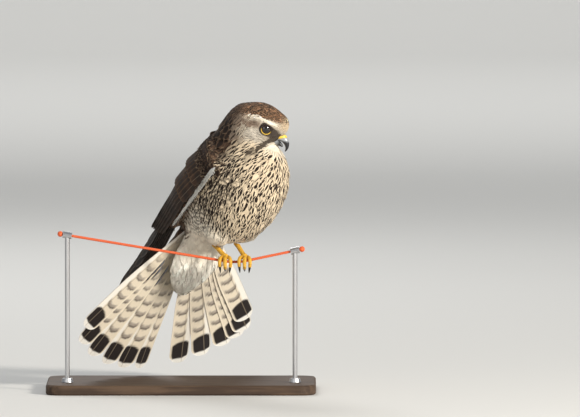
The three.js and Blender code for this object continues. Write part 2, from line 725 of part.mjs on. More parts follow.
const bill = makeBill();
const cereFrame = head.clone().multiply(new THREE.Matrix4().makeRotationY(CERE_TILT));
const cereCut = slabAlong(cereFrame, CERE_END, 60);
const nostrils = [-1, 1].map((side) =>
  makeBall(at(head, NOSTRIL.x, side * NOSTRIL.y, NOSTRIL.z), NOSTRIL_RADIUS, 10),
);
const eyes = [-1, 1].map((side) => makeBall(eyeCentre(side), EYE_RADIUS, 16));
const sockets = [-1, 1].map((side) => makeBall(eyeCentre(side), EYE_RADIUS + GAP, 16));
const brows = [-1, 1].map(makeBrow);
place("head", cut(fuse([makeHead(), ...brows]), sockets), BARRED_BROWN);
place("eye_right", eyes[0], 0x1a0e08, 0.1);
place("eye_left", eyes[1], 0x1a0e08, 0.1);
["right", "left"].forEach((name, i) => {
  const ring = makeLid(i === 0 ? -1 : 1);
  place("eyelid_" + name, cut(ring, [headCutter, ...brows, sockets[i]]), YELLOW, 0.5);
});
place("cere", cut(bill, [cereCut, headCutter, ...nostrils]), YELLOW, 0.4);
const beyondCere = slabAlong(cereFrame, CERE_END - 60 + GAP, 60);
place("bill_upper", cut(bill, [beyondCere, headCutter]), 0x3c4148, 0.3);
place("bill_lower", cut(makeLowerBill(), [makeBill(GAP), headCutter]), 0x3c4148, 0.3);
const lidRooms = [-1, 1].map((side) => makeBall(eyeCentre(side), EYE_RADIUS + 1.3, 14));
place("neck", cut(makeNeck(0), [torsoGrown, headCutter, ...lidRooms]), BUFF);

const neckGrown = makeNeck(GAP);
const thighs = [0, 1].map((i) => makeThigh(i));
const thighCutters = [0, 1].map((i) => makeThigh(i, GAP));
["right", "left"].forEach((name, i) => {
  const side = i === 0 ? -1 : 1;
  place("wing_" + name, cut(makeWing(side), [torsoGrown, neckGrown]), DARK_BROWN);
});
const tailBlocks = fuse([tails.right, tails.left]);
place("undertail_coverts", cut(makeTailCoverts(true), [torsoGrown, tailBlocks]), CREAM);
place("uppertail_coverts", cut(makeTailCoverts(false), [torsoGrown, tailBlocks]), BARRED_BROWN);
["right", "left"].forEach((name, i) => {
  const tarsus = makeTarsus(i).subtract(thighCutters[i]);
  const foot = makeFoot(i).subtract(tarsusCutters[i]);
  const cleared = i === 0 ? [torsoGrown] : [torsoGrown, thighCutters[0]];
  place("thigh_" + name, cut(thighs[i], cleared), CREAM);
  place("tarsus_" + name, tarsus, YELLOW, 0.5);
  place("foot_" + name, foot, YELLOW, 0.5);
  toesOf(FOOT_X[i]).forEach((points, k) => {
    const radii = [1, 0.92, 0.78, 0.58, 0.34, 0.12].map((share) => share * CLAW_RADIUS);
    place(`claw_${name}_${k + 1}`, limb(clawLine(points), radii, 8, V(1, 0, 0)), 0x17130f, 0.3);
  });
});

export default group;
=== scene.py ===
"""A common kestrel, perched on a short twine over a plain display stand. Metres, +Z up."""
import math

import bmesh
import bpy
import numpy as np
from mathutils import Matrix, Vector
from mathutils.bvhtree import BVHTree


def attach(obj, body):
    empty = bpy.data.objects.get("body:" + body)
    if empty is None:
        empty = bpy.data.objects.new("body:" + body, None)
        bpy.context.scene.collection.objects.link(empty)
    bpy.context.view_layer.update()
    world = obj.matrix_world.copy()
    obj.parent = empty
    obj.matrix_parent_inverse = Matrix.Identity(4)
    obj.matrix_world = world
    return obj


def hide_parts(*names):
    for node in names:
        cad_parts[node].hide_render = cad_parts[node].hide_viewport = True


MM = 0.001
rng = np.random.default_rng(41)

# Camera
VIEW_TARGET = (0.055, 0.0, 0.1845)
VIEW_DISTANCE = 10.0
VIEW_ELEVATION = math.radians(3.0)
LENS = 620.0

# How the bird sits, as in the solids, in millimetres and radians
GRIP_HEIGHT = 131.0
HEADING = math.radians(42)
BODY_PITCH = math.radians(42)
BODY_CENTRE = np.array([4.6, 2.0, GRIP_HEIGHT + 70])
HEAD_CENTRE = np.array([27.7, -23.0, GRIP_HEIGHT + 140.5])
HEAD_YAW = math.radians(14)
HEAD_PITCH = math.radians(-24)
HEAD_RADII = (29.0, 20.5, 21.5)
EYE_RADIUS = 6.4
EYE_AT = (8.0, 13.6, -2.0)
EYE_TURN = math.radians(24)

# Tail, each list from the central feather outwards
TAIL_ROOT = np.array([-70.0, -1.0, 14.0])
TAIL_DROOP = math.radians(18)
TAIL_SWING = math.radians(6.5)
TAIL_ANGLES = {
    -1: [-7.8, -15.9, -23.9, -33, -41.5, -46.4],
    1: [8.7, 17.5, 26, 31, 33.5, 35],
}
TAIL_CENTRE_LENGTH = 169.0
TAIL_GRADUATION = [0, 0.5, 1.5, 4, 9, 24]
TAIL_ROOT_HALF_WIDTH = 12.0
TAIL_STACK = 1.05
TAIL_VANE = 13.2
BAR_SPACING = 13.4
SLATE_ANGLES = [-40, -37, -35, -32, -30, -27, -24, -21]
SLATE_START = np.array([46, 52, 44, 50, 57, 46, 53, 47])

# Folded wing: its lower edge and its top at stations from the tip to the shoulder
WING_X = [-196.0, -110.0, -50.0, 30.0]
WING_EDGE_Y = [12.5, 21.0, 37.0, 46.0]
WING_EDGE_Z = [38.0, 22.0, 11.0, 8.0]
WING_TOP_Y = [7.5, 8.0, 9.0, 11.0]
WING_TOP_Z = [36.0, 42.0, 52.5, 57.0]
ARM_REAR = -84.0
ARM_FRONT = 30.0
PRIMARIES = 8
PRIMARY_LENGTH = 160.0
SECONDARIES = 9
SECONDARY_LENGTH = 74.0
# Of each tier of larger coverts: count, front root, length, lift at root and tip, half width
COVERT_TIERS = [(9, 8, 42, (1.6, 6.4), 7.0), (10, 27, 34, (-2.5, 6.8), 6.4)]
SMALL_COVERT_GAP = 4.0
FEATHER_THICKNESS = 0.45

# Twine
TWINE_RADIUS = 1.3
TWINE_RISE = (math.radians(9.4), math.radians(11.8))
TWINE_FLAT = 2.0
TWINE_ENDS = (-175.0, 67.0)
TWINE_STRANDS = 3
TWINE_LAY = 7.0
KNOT_RADIUS = 2.9
KNOT_REACH = 2.7

# Skin
FLESH = ["head", "neck", "torso", "thigh_right", "thigh_left", "undertail_coverts", "uppertail_coverts"]
SKIN_VOXEL = 1.3
SKIN_DEPTH = 2.5
HEAD_SKIN_DEPTH = 0.9
BLEND_ROUNDS = 45
BLEND_LEVELS = 9
NECK_ROOT = (2.0, 0.0, 17.0)
NECK_ROOT_RADIUS = 40.0
NECK_TOP = (-16.0, 0.0, -8.0)
NECK_TOP_RADIUS = 22.0

# Coat of small vanes
VANE_OUTLINE = np.array([0.5, 0.85, 1.0, 0.98, 0.74, 0.16])
COAT_ROWS = len(VANE_OUTLINE)
COAT_COLUMNS = 5
COAT_PIECE_VANES = 4500
FULL_TRIES = 260000
BODY_SPACING, HEAD_SPACING, FACE_SPACING, BACK_SPACING = 2.35, 1.2, 0.72, 3.4
ROOT_SINK = 0.04
CURL = 0.06
CUP = 0.16
BAKE_PATCH = 0.003
AROUND = [(x, y, z) for x in (-1, 0, 1) for y in (-1, 0, 1) for z in (-1, 0, 1)]
MARKED_SHARE = 0.88
EYE_CLEAR = 0.9
BILL_CLEAR = 1.5

# Colours
CREAM = (0.88, 0.80, 0.66)
BUFF = (0.76, 0.62, 0.44)
WHITE = (0.86, 0.82, 0.74)
RUFOUS = (0.22, 0.115, 0.062)
# The back's brown is partly its own colour and partly painted shade that darkens it
BACK_BROWN_AND_SHADE = (0.10, 0.056, 0.034)
DARK = (0.022, 0.014, 0.010)
GREY_CREAM = (0.56, 0.49, 0.39)
# The neck and nape browns are partly their own colour and partly painted shade that darkens them
NECK_BROWN_AND_SHADE = (0.085, 0.050, 0.032)
NAPE_BROWN_AND_SHADE = (0.075, 0.043, 0.03)
VENT_WHITE = (0.97, 0.92, 0.81)
FOREHEAD_BUFF = (0.60, 0.46, 0.30)
EYE_STRIPE = (0.16, 0.10, 0.07)
LORE = (0.030, 0.021, 0.018)
CHEEK = (0.66, 0.60, 0.51)
PALE_EDGE = (0.62, 0.45, 0.29)
SHAFT = (0.30, 0.24, 0.17)
TAIL_BELOW = (0.76, 0.67, 0.53)
TAIL_BELOW_BAR = (0.30, 0.26, 0.22)
TAIL_BELOW_RIM = (0.075, 0.055, 0.045)
TAIL_ABOVE = (0.42, 0.24, 0.13)
TAIL_ABOVE_BAR = (0.05, 0.035, 0.03)
TAIL_BAND = (0.016, 0.011, 0.010)
TAIL_TIP = (0.82, 0.79, 0.73)
WING_BELOW = (0.42, 0.38, 0.33)
WING_BAR = (0.028, 0.02, 0.016)
WING_RIM = (0.27, 0.17, 0.10)
# Wing browns: partly the feathers' own dark colour and partly painted shade
PRIMARY_BROWN_AND_SHADE = (0.026, 0.019, 0.015)
SECONDARY_BROWN_AND_SHADE = (0.040, 0.024, 0.016)
COVERT_BROWN_AND_SHADE = (0.062, 0.034, 0.021)
SMALL_COVERT_BROWN = (0.085, 0.046, 0.028)
SHOULDER_BROWN = (0.07, 0.038, 0.024)
WING_EDGE_WHITE = (0.95, 0.93, 0.88)
SLATE = (0.16, 0.17, 0.19)
EYE_BROWN = (0.020, 0.010, 0.006)
PUPIL = (0.002, 0.002, 0.002)
LID_YELLOW = (0.72, 0.46, 0.05)
HORN_GREY = (0.34, 0.36, 0.38)
HORN_TIP = (0.012, 0.012, 0.014)


def unit(v):
    return v / np.maximum(np.linalg.norm(v, axis=-1, keepdims=True), 1e-9)


def smooth(x, low, high):
    t = np.clip((x - low) / (high - low), 0, 1)
    return t * t * (3 - 2 * t)


def mix(a, b, t):
    return np.asarray(a) * (1 - t) + np.asarray(b) * t


def blend(colour, other, share):
    return mix(colour, other, share[:, None])


def window(x, rise_from, rise_to, fall_from, fall_to):
    """Smoothly from 0 up to 1 and back to 0 along x."""
    return smooth(x, rise_from, rise_to) * (1 - smooth(x, fall_from, fall_to))


class Frame:
    """An origin with a forward, a left and an up direction."""

    def __init__(self, origin, forward, left):
        forward = unit(np.asarray(forward, float))
        up = unit(np.cross(forward, left))
        self.origin = np.asarray(origin, float)
        self.axes = np.stack([forward, np.cross(up, forward), up])

    def out(self, points):
        return np.asarray(points, float) @ self.axes + self.origin

    def turn(self, vectors):
        return np.asarray(vectors, float) @ self.axes

    def local(self, points):
        return (np.asarray(points) - self.origin) @ self.axes.T


def posed(centre, right, near, pitch):
    """A frame that looks right and towards the camera by these shares, then up by a pitch."""
    forward = [right * math.cos(pitch), -near * math.cos(pitch), math.sin(pitch)]
    return Frame(centre, forward, [near, right, 0])


body = posed(BODY_CENTRE, math.sin(HEADING), math.cos(HEADING), BODY_PITCH)
head = posed(HEAD_CENTRE, math.cos(HEAD_YAW), math.sin(HEAD_YAW), HEAD_PITCH)


def tail_frame():
    swing, droop = -TAIL_SWING, -TAIL_DROOP
    turn_z = np.array(
        [[math.cos(swing), math.sin(swing), 0], [-math.sin(swing), math.cos(swing), 0], [0, 0, 1]]
    )
    turn_y = np.array(
        [[math.cos(droop), 0, -math.sin(droop)], [0, 1, 0], [math.sin(droop), 0, math.cos(droop)]]
    )
    axes = turn_y @ turn_z @ body.axes
    return Frame(body.out(TAIL_ROOT), axes[0], axes[1])


tail = tail_frame()


# Materials
def shader(name, roughness, **sockets):
    """A new material with short ways to add nodes to it."""
    made = bpy.data.materials.new(name)
    made.use_nodes = True
    n = Nodes(made.node_tree)
    for key, value in {"Roughness": roughness, **sockets}.items():
        n.surface[key.replace("_", " ")].default_value = value
    return made, n


class Nodes:
    """Short ways to add shader nodes."""

    def __init__(self, tree):
        self.tree = tree
        self.surface = tree.nodes["Principled BSDF"].inputs

    def add(self, kind, inputs=(), **settings):
        node = self.tree.nodes.new(kind)
        for key, value in settings.items():
            setattr(node, key, value)
        for key, value in dict(inputs).items():
            self.feed(node.inputs[key], value)
        return node

    def feed(self, socket, value):
        if isinstance(value, bpy.types.NodeSocket):
            self.tree.links.new(value, socket)
        else:
            socket.default_value = value

    def math(self, operation, *values, clamp=False):
        node = self.add("ShaderNodeMath", operation=operation, use_clamp=clamp)
        for socket, value in zip(node.inputs, values):
            self.feed(socket, value)
        return node.outputs[0]

    def times(self, a, b):
        return self.math("MULTIPLY", a, b)

    def plus(self, a, b):
        return self.math("ADD", a, b)

    def minus(self, a, b):
        return self.math("SUBTRACT", a, b)

    def step(self, value, low, high):
        inputs = {"Value": value, "From Min": low, "From Max": high}
        return self.add("ShaderNodeMapRange", inputs, interpolation_type="SMOOTHSTEP").outputs[0]

    def mix(self, factor, a, b):
        node = self.add("ShaderNodeMix", data_type="RGBA")
        for index, value in ((0, factor), (6, a), (7, b)):
            if isinstance(value, tuple):
                value = (*value, 1.0)
            self.feed(node.inputs[index], value)
        return node.outputs[2]

    def attribute(self, name):
        return self.add("ShaderNodeAttribute", attribute_name=name).outputs["Color"]

    def marks(self):
        """Strengths of the streak, the bars and the pale edge."""
        return self.add("ShaderNodeSeparateColor", {"Color": self.attribute("mark")}).outputs[:3]

    def vane(self):
        """How far along its vane and from the shaft a spot is, from 0 to 1."""
        place = self.add("ShaderNodeUVMap", uv_map="Vane").outputs[0]
        u, v = self.add("ShaderNodeSeparateXYZ", {"Vector": place}).outputs[:2]
        return v, self.math("ABSOLUTE", self.minus(self.times(u, 2.0), 1.0))

    def noise(self, scale, detail=3.0, vector=None):
        node = self.add("ShaderNodeTexNoise", {"Scale": scale, "Detail": detail})
        if vector is not None:
            self.feed(node.inputs["Vector"], vector)
        return node.outputs["Fac"]

    def colour(self, value):
        self.feed(self.surface["Base Color"], value)

    def bump(self, height, strength, distance):
        node = self.add("ShaderNodeBump", {"Strength": strength, "Distance": distance, "Height": height})
        self.feed(self.surface["Normal"], node.outputs["Normal"])

    def waved(self, colour, waves, depth):
        """A base colour that is darkened where the waves are low."""
        shade = self.plus(1.0 - depth, self.times(waves, depth))
        inputs = {0: 1.0, 6: colour, 7: shade}
        self.colour(self.add("ShaderNodeMix", inputs, data_type="RGBA", blend_type="MULTIPLY").outputs[2])


def plumage_material():
    """Vanes with a shaft streak, bars and a pale edge, each as strong as its mark says."""
    made, n = shader("plumage", 0.85, Sheen_Weight=0.04, Specular_IOR_Level=0.2)
    v, side = n.vane()
    streak, bars, edge = n.marks()
    wobble = n.times(n.minus(n.noise(900.0), 0.5), 0.5)
    drop = n.times(n.step(v, 0.1, 0.62), n.minus(1.0, n.step(v, 0.82, 0.99)))
    reach = n.times(n.times(streak, drop), 0.85)
    inside = n.minus(reach, n.plus(side, n.times(wobble, 0.4)))
    streak_mask = n.times(n.step(inside, -0.04, 0.1), n.step(streak, 0.02, 0.1))
    arch = n.plus(n.times(v, 2.6), n.times(side, -0.25))
    wave = n.math("SINE", n.times(n.plus(arch, n.times(wobble, 0.3)), 2 * math.pi))
    bar_mask = n.times(n.step(wave, -0.1, 0.35), bars)
    dark = n.math("MAXIMUM", streak_mask, bar_mask)
    pale = n.times(n.math("MAXIMUM", n.step(side, 0.7, 0.98), n.step(v, 0.86, 0.99)), edge)
    coloured = n.mix(dark, n.attribute("base"), DARK)
    lighter = n.mix(n.times(pale, 0.75), coloured, PALE_EDGE)
    barb_at = n.plus(n.times(v, 150.0), n.times(side, -60.0))
    barbs = n.math("SINE", n.plus(barb_at, n.times(wobble, 8.0)))
    n.waved(lighter, barbs, 0.07)
    n.bump(barbs, 0.35, 0.0002)
    return made


def skin_material():
    """Skin, blotched where the vanes over it have streaks or bars."""
    made, n = shader("skin_under_plumage", 0.9, Specular_IOR_Level=0.2)
    streak, bars, _ = n.marks()
    patches = n.step(n.noise(420.0, 2.0), 0.52, 0.6)
    dark = n.math("MULTIPLY", patches, n.math("MAXIMUM", streak, bars), clamp=True)
    n.colour(n.mix(dark, n.attribute("base"), DARK))
    n.bump(n.noise(900.0, 4.0), 0.4, 0.0004)
    return made


def flight_material():
    """Wing and tail vanes: a shaft line and barbs over painted colours."""
    made, n = shader("flight_feathers", 0.72, Sheen_Weight=0.03, Specular_IOR_Level=0.22)
    v, side = n.vane()
    shaft = n.minus(1.0, n.step(side, 0.025, 0.06))
    barb_at = n.plus(n.times(v, 1400.0), n.times(side, -180.0))
    barbs = n.math("SINE", n.plus(barb_at, n.times(n.noise(260.0, 2.0), 14.0)))
    n.waved(n.mix(n.times(shaft, 0.5), n.attribute("base"), SHAFT), barbs, 0.06)
    ridge = n.plus(n.times(barbs, 0.12), shaft)
    n.bump(ridge, 0.5, 0.0003)
    return made


def mottled(name, colour, other, scale, roughness, bump, **sockets):
    """Two colours in patches, with a cell pattern raised by the bump."""
    made, n = shader(name, roughness, **sockets)
    n.colour(n.mix(n.step(n.noise(scale, 4.0), 0.35, 0.7), colour, other))
    if bump:
        cells = n.add("ShaderNodeTexVoronoi", {"Scale": scale * 2.2}, feature="DISTANCE_TO_EDGE")
        n.bump(cells.outputs["Distance"], bump, 0.0006)
    return made


def painted(name, roughness, **sockets):
    made, n = shader(name, roughness, **sockets)
    n.colour(n.attribute("base"))
    return made


def bill_material():
    made, n = shader("horn", 0.28)
    n.colour(n.mix(n.times(n.noise(700.0), 0.12), n.attribute("base"), (0.02, 0.02, 0.022)))
    return made


def wood_material():
    made, n = shader("base_wood", 0.62, Specular_IOR_Level=0.2)
    place = n.add("ShaderNodeTexCoord").outputs["Object"]
    grain = n.add("ShaderNodeMapping", {"Vector": place, "Scale": (6.0, 90.0, 60.0)})
    noise = n.noise(3.0, 6.0, grain.outputs[0])
    n.colour(n.mix(n.step(noise, 0.35, 0.65), (0.055, 0.035, 0.024), (0.11, 0.07, 0.045)))
    n.bump(noise, 0.12, 0.0004)
    return made


# Meshes
def in_scene(name, data):
    made = bpy.data.objects.new(name, data)
    bpy.context.scene.collection.objects.link(made)
    return made


def mesh_object(name, points, faces, material):
    """Points in millimetres; the mesh is in metres."""
    mesh = bpy.data.meshes.new(name)
    mesh.from_pydata((np.asarray(points) * MM).tolist(), [], [tuple(map(int, f)) for f in faces])
    mesh.validate()
    mesh.polygons.foreach_set("use_smooth", [True] * len(mesh.polygons))
    mesh.materials.append(material)
    return in_scene(name, mesh)


def point_colours(mesh, name, colours):
    layer = mesh.attributes.new(name, "FLOAT_COLOR", "POINT")
    rgba = np.ones((len(mesh.vertices), 4))
    rgba[:, :3] = colours
    layer.data.foreach_set("color", rgba.ravel())


def corner_uvs(mesh, name, per_point):
    layer = mesh.uv_layers.new(name=name)
    index = np.empty(len(mesh.loops), int)
    mesh.loops.foreach_get("vertex_index", index)
    layer.data.foreach_set("uv", np.asarray(per_point)[index].ravel())


def run_modifiers(obj):
    depsgraph = bpy.context.evaluated_depsgraph_get()
    mesh = bpy.data.meshes.new_from_object(obj.evaluated_get(depsgraph))
    old = obj.data
    obj.modifiers.clear()
    obj.data = mesh
    bpy.data.meshes.remove(old)


def soften(obj, factor, rounds, group=""):
    modifier = obj.modifiers.new("soften", "SMOOTH")
    modifier.factor = factor
    modifier.iterations = rounds
    modifier.vertex_group = group
    run_modifiers(obj)


def vertex_values(obj, key):
    flat = np.empty(len(obj.data.vertices) * 3)
    obj.data.vertices.foreach_get(key, flat)
    return flat.reshape(-1, 3)


def points_of(obj):
    return vertex_values(obj, "co") / MM


def normals_of(obj):
    return vertex_values(obj, "normal")


def sink_in(obj, depth):
    """Move a mesh's points inwards, and return them."""
    points = points_of(obj) - normals_of(obj) * depth
    obj.data.vertices.foreach_set("co", (points * MM).ravel())
    obj.data.update()
    return points


def surface_of(obj):
    faces = [tuple(face.vertices) for face in obj.data.polygons]
    return BVHTree.FromPolygons(points_of(obj).tolist(), faces)


def nearest_on(surface, points):
    near = [surface.find_nearest(point)[:2] for point in points]
    return np.array([spot for spot, _ in near]), np.array([normal for _, normal in near])


def grid_faces(rows, columns):
    """Quads of a grid of points, and its rim in order with each point's next one."""
    block = np.arange(rows * columns).reshape(rows, columns)
    quads = np.stack([block[:-1, :-1], block[:-1, 1:], block[1:, 1:], block[1:, :-1]], -1)
    rim = np.concatenate([block[0, :], block[1:, -1], block[-1, -2::-1], block[-2:0:-1, 0]])
    return quads.reshape(-1, 4), rim, np.roll(rim, -1)


def grid_uv(c, v):
    """Places across and along a vane, from 0 to 1."""
    return np.stack(np.broadcast_arrays((c + 1) / 2, v), -1).reshape(-1, 2)


def as_one(shells):
    """Points and faces of several shells or feathers together."""
    faces = []
    start = 0
    for points, own_faces, *_ in shells:
        faces += [[i + start for i in face] for face in own_faces]
        start += len(points)
    return np.concatenate([points for points, *_ in shells]), faces


def fused_copy(name, nodes, material, swell, voxel=0.2, rounds=2, sink=0, shells=()):
    """One smooth surface round nodes and closed shells; all sizes in millimetres."""
    joined = bmesh.new()

    def take_in(fill):
        scratch = bpy.data.meshes.new("scratch")
        fill(scratch)
        joined.from_mesh(scratch)
        bpy.data.meshes.remove(scratch)

    for points, faces in shells:
        take_in(lambda mesh: mesh.from_pydata((points * MM).tolist(), [], faces))
    for node in nodes:
        part = bmesh.new()
        part.from_mesh(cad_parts[node].data)
        bmesh.ops.remove_doubles(part, verts=part.verts, dist=1e-6)
        part.normal_update()
        for vertex in part.verts:
            vertex.co += vertex.normal * (swell * MM)
        take_in(part.to_mesh)
        part.free()
    mesh = bpy.data.meshes.new(name)
    joined.to_mesh(mesh)
    joined.free()
    mesh.materials.append(material)
    made = in_scene(name, mesh)
    remesh = made.modifiers.new("remesh", "REMESH")
    remesh.mode = "VOXEL"
    remesh.voxel_size = voxel * MM
    soften(made, 0.6, rounds)
    made.data.polygons.foreach_set("use_smooth", [True] * len(made.data.polygons))
    if sink:
        sink_in(made, sink)
    return made


# One skin over the flesh
def neck_balls():
    """Rounded ends for the neck, at its root on the back and where it meets the head."""
    balls = []
    for frame_of, at, radius in ((body, NECK_ROOT, NECK_ROOT_RADIUS), (head, NECK_TOP, NECK_TOP_RADIUS)):
        scratch = bmesh.new()
        bmesh.ops.create_icosphere(scratch, subdivisions=4, radius=radius)
        points = np.array([vertex.co[:] for vertex in scratch.verts])
        faces = [[vertex.index for vertex in face.verts] for face in scratch.faces]
        scratch.free()
        balls.append((points + frame_of.out(at), faces))
    return balls


def blend_body(skin):
    """Soften the skin everywhere but on the face, so that no edge of a part shows through."""
    points = points_of(skin)
    face = head_share_at(points) * smooth(head.local(points)[:, 0], -16, -4)
    group = skin.vertex_groups.new(name="soft")
    for step in range(BLEND_LEVELS + 1):
        chosen = np.flatnonzero(np.round((1 - face) * BLEND_LEVELS) == step)
        group.add(chosen.tolist(), step / BLEND_LEVELS, "REPLACE")
    soften(skin, 0.7, BLEND_ROUNDS, "soft")


def body_skin(material):
    """One skin round all flesh, sunk a little so that the vanes over it end at the solids."""
    shells = [arm_shell(-1), arm_shell(1), *neck_balls()]
    made = fused_copy("skin", FLESH, material, swell=0.5, voxel=SKIN_VOXEL, rounds=12, shells=shells)
    blend_body(made)
    depth = mix(SKIN_DEPTH, HEAD_SKIN_DEPTH, head_share_at(points_of(made)))
    points = sink_in(made, depth[:, None])
    colour, mark, *_ = region(points)
    point_colours(made.data, "base", np.clip(colour, 0, 1))
    point_colours(made.data, "mark", np.clip(mark, 0, 1))
    corner_uvs(made.data, "OFBake", bake_place(points))
    return made


# Markings of the small feathers, by where they grow
def head_distance(points):
    """Distance from the head's centre, with 1 near the head's surface."""
    hx, hy, hz = head.local(points).T
    rx, ry, rz = HEAD_RADII
    return np.sqrt((hx / rx) ** 2 + (hy / ry) ** 2 + (hz / rz) ** 2)


def head_share_at(points):
    return 1 - smooth(head_distance(points), 1.02, 1.3)


def crown_at(points):
    h = head.local(points)
    return head_share_at(points) * smooth(h[:, 2] - 0.12 * h[:, 0], 4.5, 8.5)


def face_markings(hx, hz):
    """Colour and streaks of the head, with the shares of crown, throat and moustache."""
    crown = smooth(hz - 0.12 * hx, 3.5, 7.5)
    face = blend(GREY_CREAM, RUFOUS, crown)
    forehead = smooth(hx, 17, 24) * smooth(hz, 0, 5)
    face = blend(face, FOREHEAD_BUFF, forehead * 0.8)
    brow = (1 - smooth(np.abs(hz - 5.9 + 0.04 * hx), 0.7, 2.0)) * window(hx, -15, -6, 16, 20)
    face = blend(face, CREAM, brow)
    behind_eye = (1 - smooth(np.abs(hz + 1.5), 2.5, 4.5)) * window(hx, -24, -14, 0, 5)
    face = blend(face, EYE_STRIPE, behind_eye * 0.85)
    lore = 1 - smooth(np.hypot((hx - 15) / 9, (hz + 3.2) / 5.4), 0.8, 1.1)
    face = blend(face, LORE, lore * 0.95)
    cheek = 1 - smooth(np.hypot((hx - 1) / 12, (hz + 12) / 7.5), 0.6, 1.1)
    face = blend(face, CHEEK, cheek * 0.8)
    # The nape's dark brown is partly its own colour and partly painted shade
    nape_and_shade = smooth(-hx, 12, 24) * smooth(hz, -14, -4)
    face = blend(face, NAPE_BROWN_AND_SHADE, nape_and_shade * 0.9)
    slope = hx - (17.8 + 0.6 * (hz + 10.5))
    moustache = (1 - smooth(np.abs(slope), 2.0, 3.8)) * window(hz, -30, -25, -8, -5)
    throat = 0.85 * smooth(slope, 2.5, 4.5) * window(-hz, 9, 13, 16, 23) * (1 - smooth(hx, 28, 36))
    streak = mix(0.32, 0.8, crown) * (1 - 0.8 * brow) * (1 - lore) * (1 - brow)
    return face, streak, crown, throat, moustache


def lie_of(h, b, head_share, neck, back, vent):
    """Which way the vanes lie: back on the body, down in front, away from the bill on the head."""
    ones = np.ones(len(h))
    front = smooth(-b[:, 2], -20, 6) * (1 - back)
    lie = unit(body.turn(np.stack([-ones, 0.003 * b[:, 1], -0.1 * ones], 1)))
    lie = unit(lie + np.array([0, 0, -1.0]) * (1.15 * front)[:, None])
    away = unit(head.turn(np.stack([-ones, 0.016 * h[:, 1], 0.012 * h[:, 2] - 0.1], 1)))
    hind = smooth(-h[:, 0], -4, 14)
    away = unit(blend(away, unit(lie - 0.5 * head.axes[2]), hind))
    lie = unit(blend(lie, away, np.maximum(head_share, neck * 0.4)))
    return unit(blend(lie, -tail.axes[0], vent))


def region(points):
    """Colour, mark strengths, vane spacing and lie at points, with the shares of head, back and vent."""
    h, b, t = head.local(points), body.local(points), tail.local(points)
    hx, _, hz = h.T
    bx, by, bz = b.T
    patchy = np.sin(points[:, 0] * 0.61 + 2 * np.sin(points[:, 2] * 0.37))
    patchy = patchy * np.sin(points[:, 1] * 0.53 + 1.3)
    head_share = head_share_at(points)
    back = smooth(bz - 0.14 * bx + 2.5 * patchy, 9, 19)
    # Under parts
    colour = blend(BUFF, CREAM, smooth(-bx, 4, 34))
    flank = smooth(np.abs(by), 24, 36) * smooth(bz, -26, -8) * (1 - smooth(-bx, 40, 62))
    streak = (0.55 + 0.16 * patchy) * (1 - 0.95 * smooth(-bx, 14, 34)) + 0.2 * flank
    # Back and mantle, their brown darkened with painted shade
    colour = blend(colour, BACK_BROWN_AND_SHADE, back)
    streak = streak * (1 - 0.6 * back)
    bars = mix(0.7 * flank, 0.9, back)
    edge = mix(0.15, 0.35, back)
    # Neck, brown and streaked behind, the brown darkened there with painted shade
    neck = smooth(bx, 34, 58) * (1 - head_share)
    nape_side = smooth(-hx + 0.5 * hz, 6, 22)
    bars = bars * (1 - neck)
    streak = mix(streak, 0.72, neck * nape_side)
    colour = blend(colour, NECK_BROWN_AND_SHADE, neck * nape_side)
    # Tail coverts and vent
    vent = smooth(-t[:, 0], 6, 24) * window(-t[:, 2], -1, 3, 24, 32)
    colour = blend(colour, VENT_WHITE, vent)
    streak, bars = streak * (1 - vent), bars * (1 - vent)
    # Head
    face, face_streak, crown, throat, moustache = face_markings(hx, hz)
    colour = blend(colour, face, head_share)
    colour = blend(blend(colour, CREAM, throat), DARK, moustache * 0.92)
    plain = (1 - throat) * (1 - moustache)
    streak = mix(streak, face_streak, head_share) * plain
    bars = bars * (1 - head_share) * plain
    edge = mix(edge, 0.25 + 0.35 * crown, head_share)
    # Size and lie
    face_near = head_share * smooth(hx, -2, 20)
    spacing = mix(mix(BODY_SPACING, HEAD_SPACING, head_share), FACE_SPACING, face_near)
    spacing = mix(spacing, BACK_SPACING, back * (1 - head_share))
    lie = lie_of(h, b, head_share, neck, back, vent)
    return colour, np.stack([streak, bars, edge], 1), spacing, lie, head_share, back, vent


# Small vanes over the skin
def unrolled(local, rear, length, low, height):
    """Places in a flat strip: round a frame's forward axis, and along it."""
    around = np.arctan2(local[:, 1], local[:, 2]) / (2 * math.pi) + 0.5
    along = np.clip((local[:, 0] - rear) / length, 0, 1)
    return np.stack([0.01 + 0.98 * around, low + height * along], 1)


def bake_place(points):
    """A flat place for each root, in the body's strip or in the head's strip below it."""
    on_head = head_distance(points) < 1.16
    place = unrolled(body.local(points) - [0, 0, 4], -150, 260, 0.36, 0.63)
    place[on_head] = unrolled(head.local(points), -36, 72, 0.01, 0.33)[on_head]
    return place


def walk(surface, start, out, direction, step):
    """Middle lines that creep over a surface from their roots, with the way out at each point."""
    line, facing = [start], [out]
    way = direction
    for _ in range(COAT_ROWS - 1):
        spot, normal = nearest_on(surface, line[-1] + way * step[:, None])
        normal = unit(normal + 0.8 * facing[-1])
        way = unit(way - normal * np.sum(way * normal, 1)[:, None])
        line.append(spot)
        facing.append(normal)
    return np.stack(line, 1), np.stack(facing, 1)


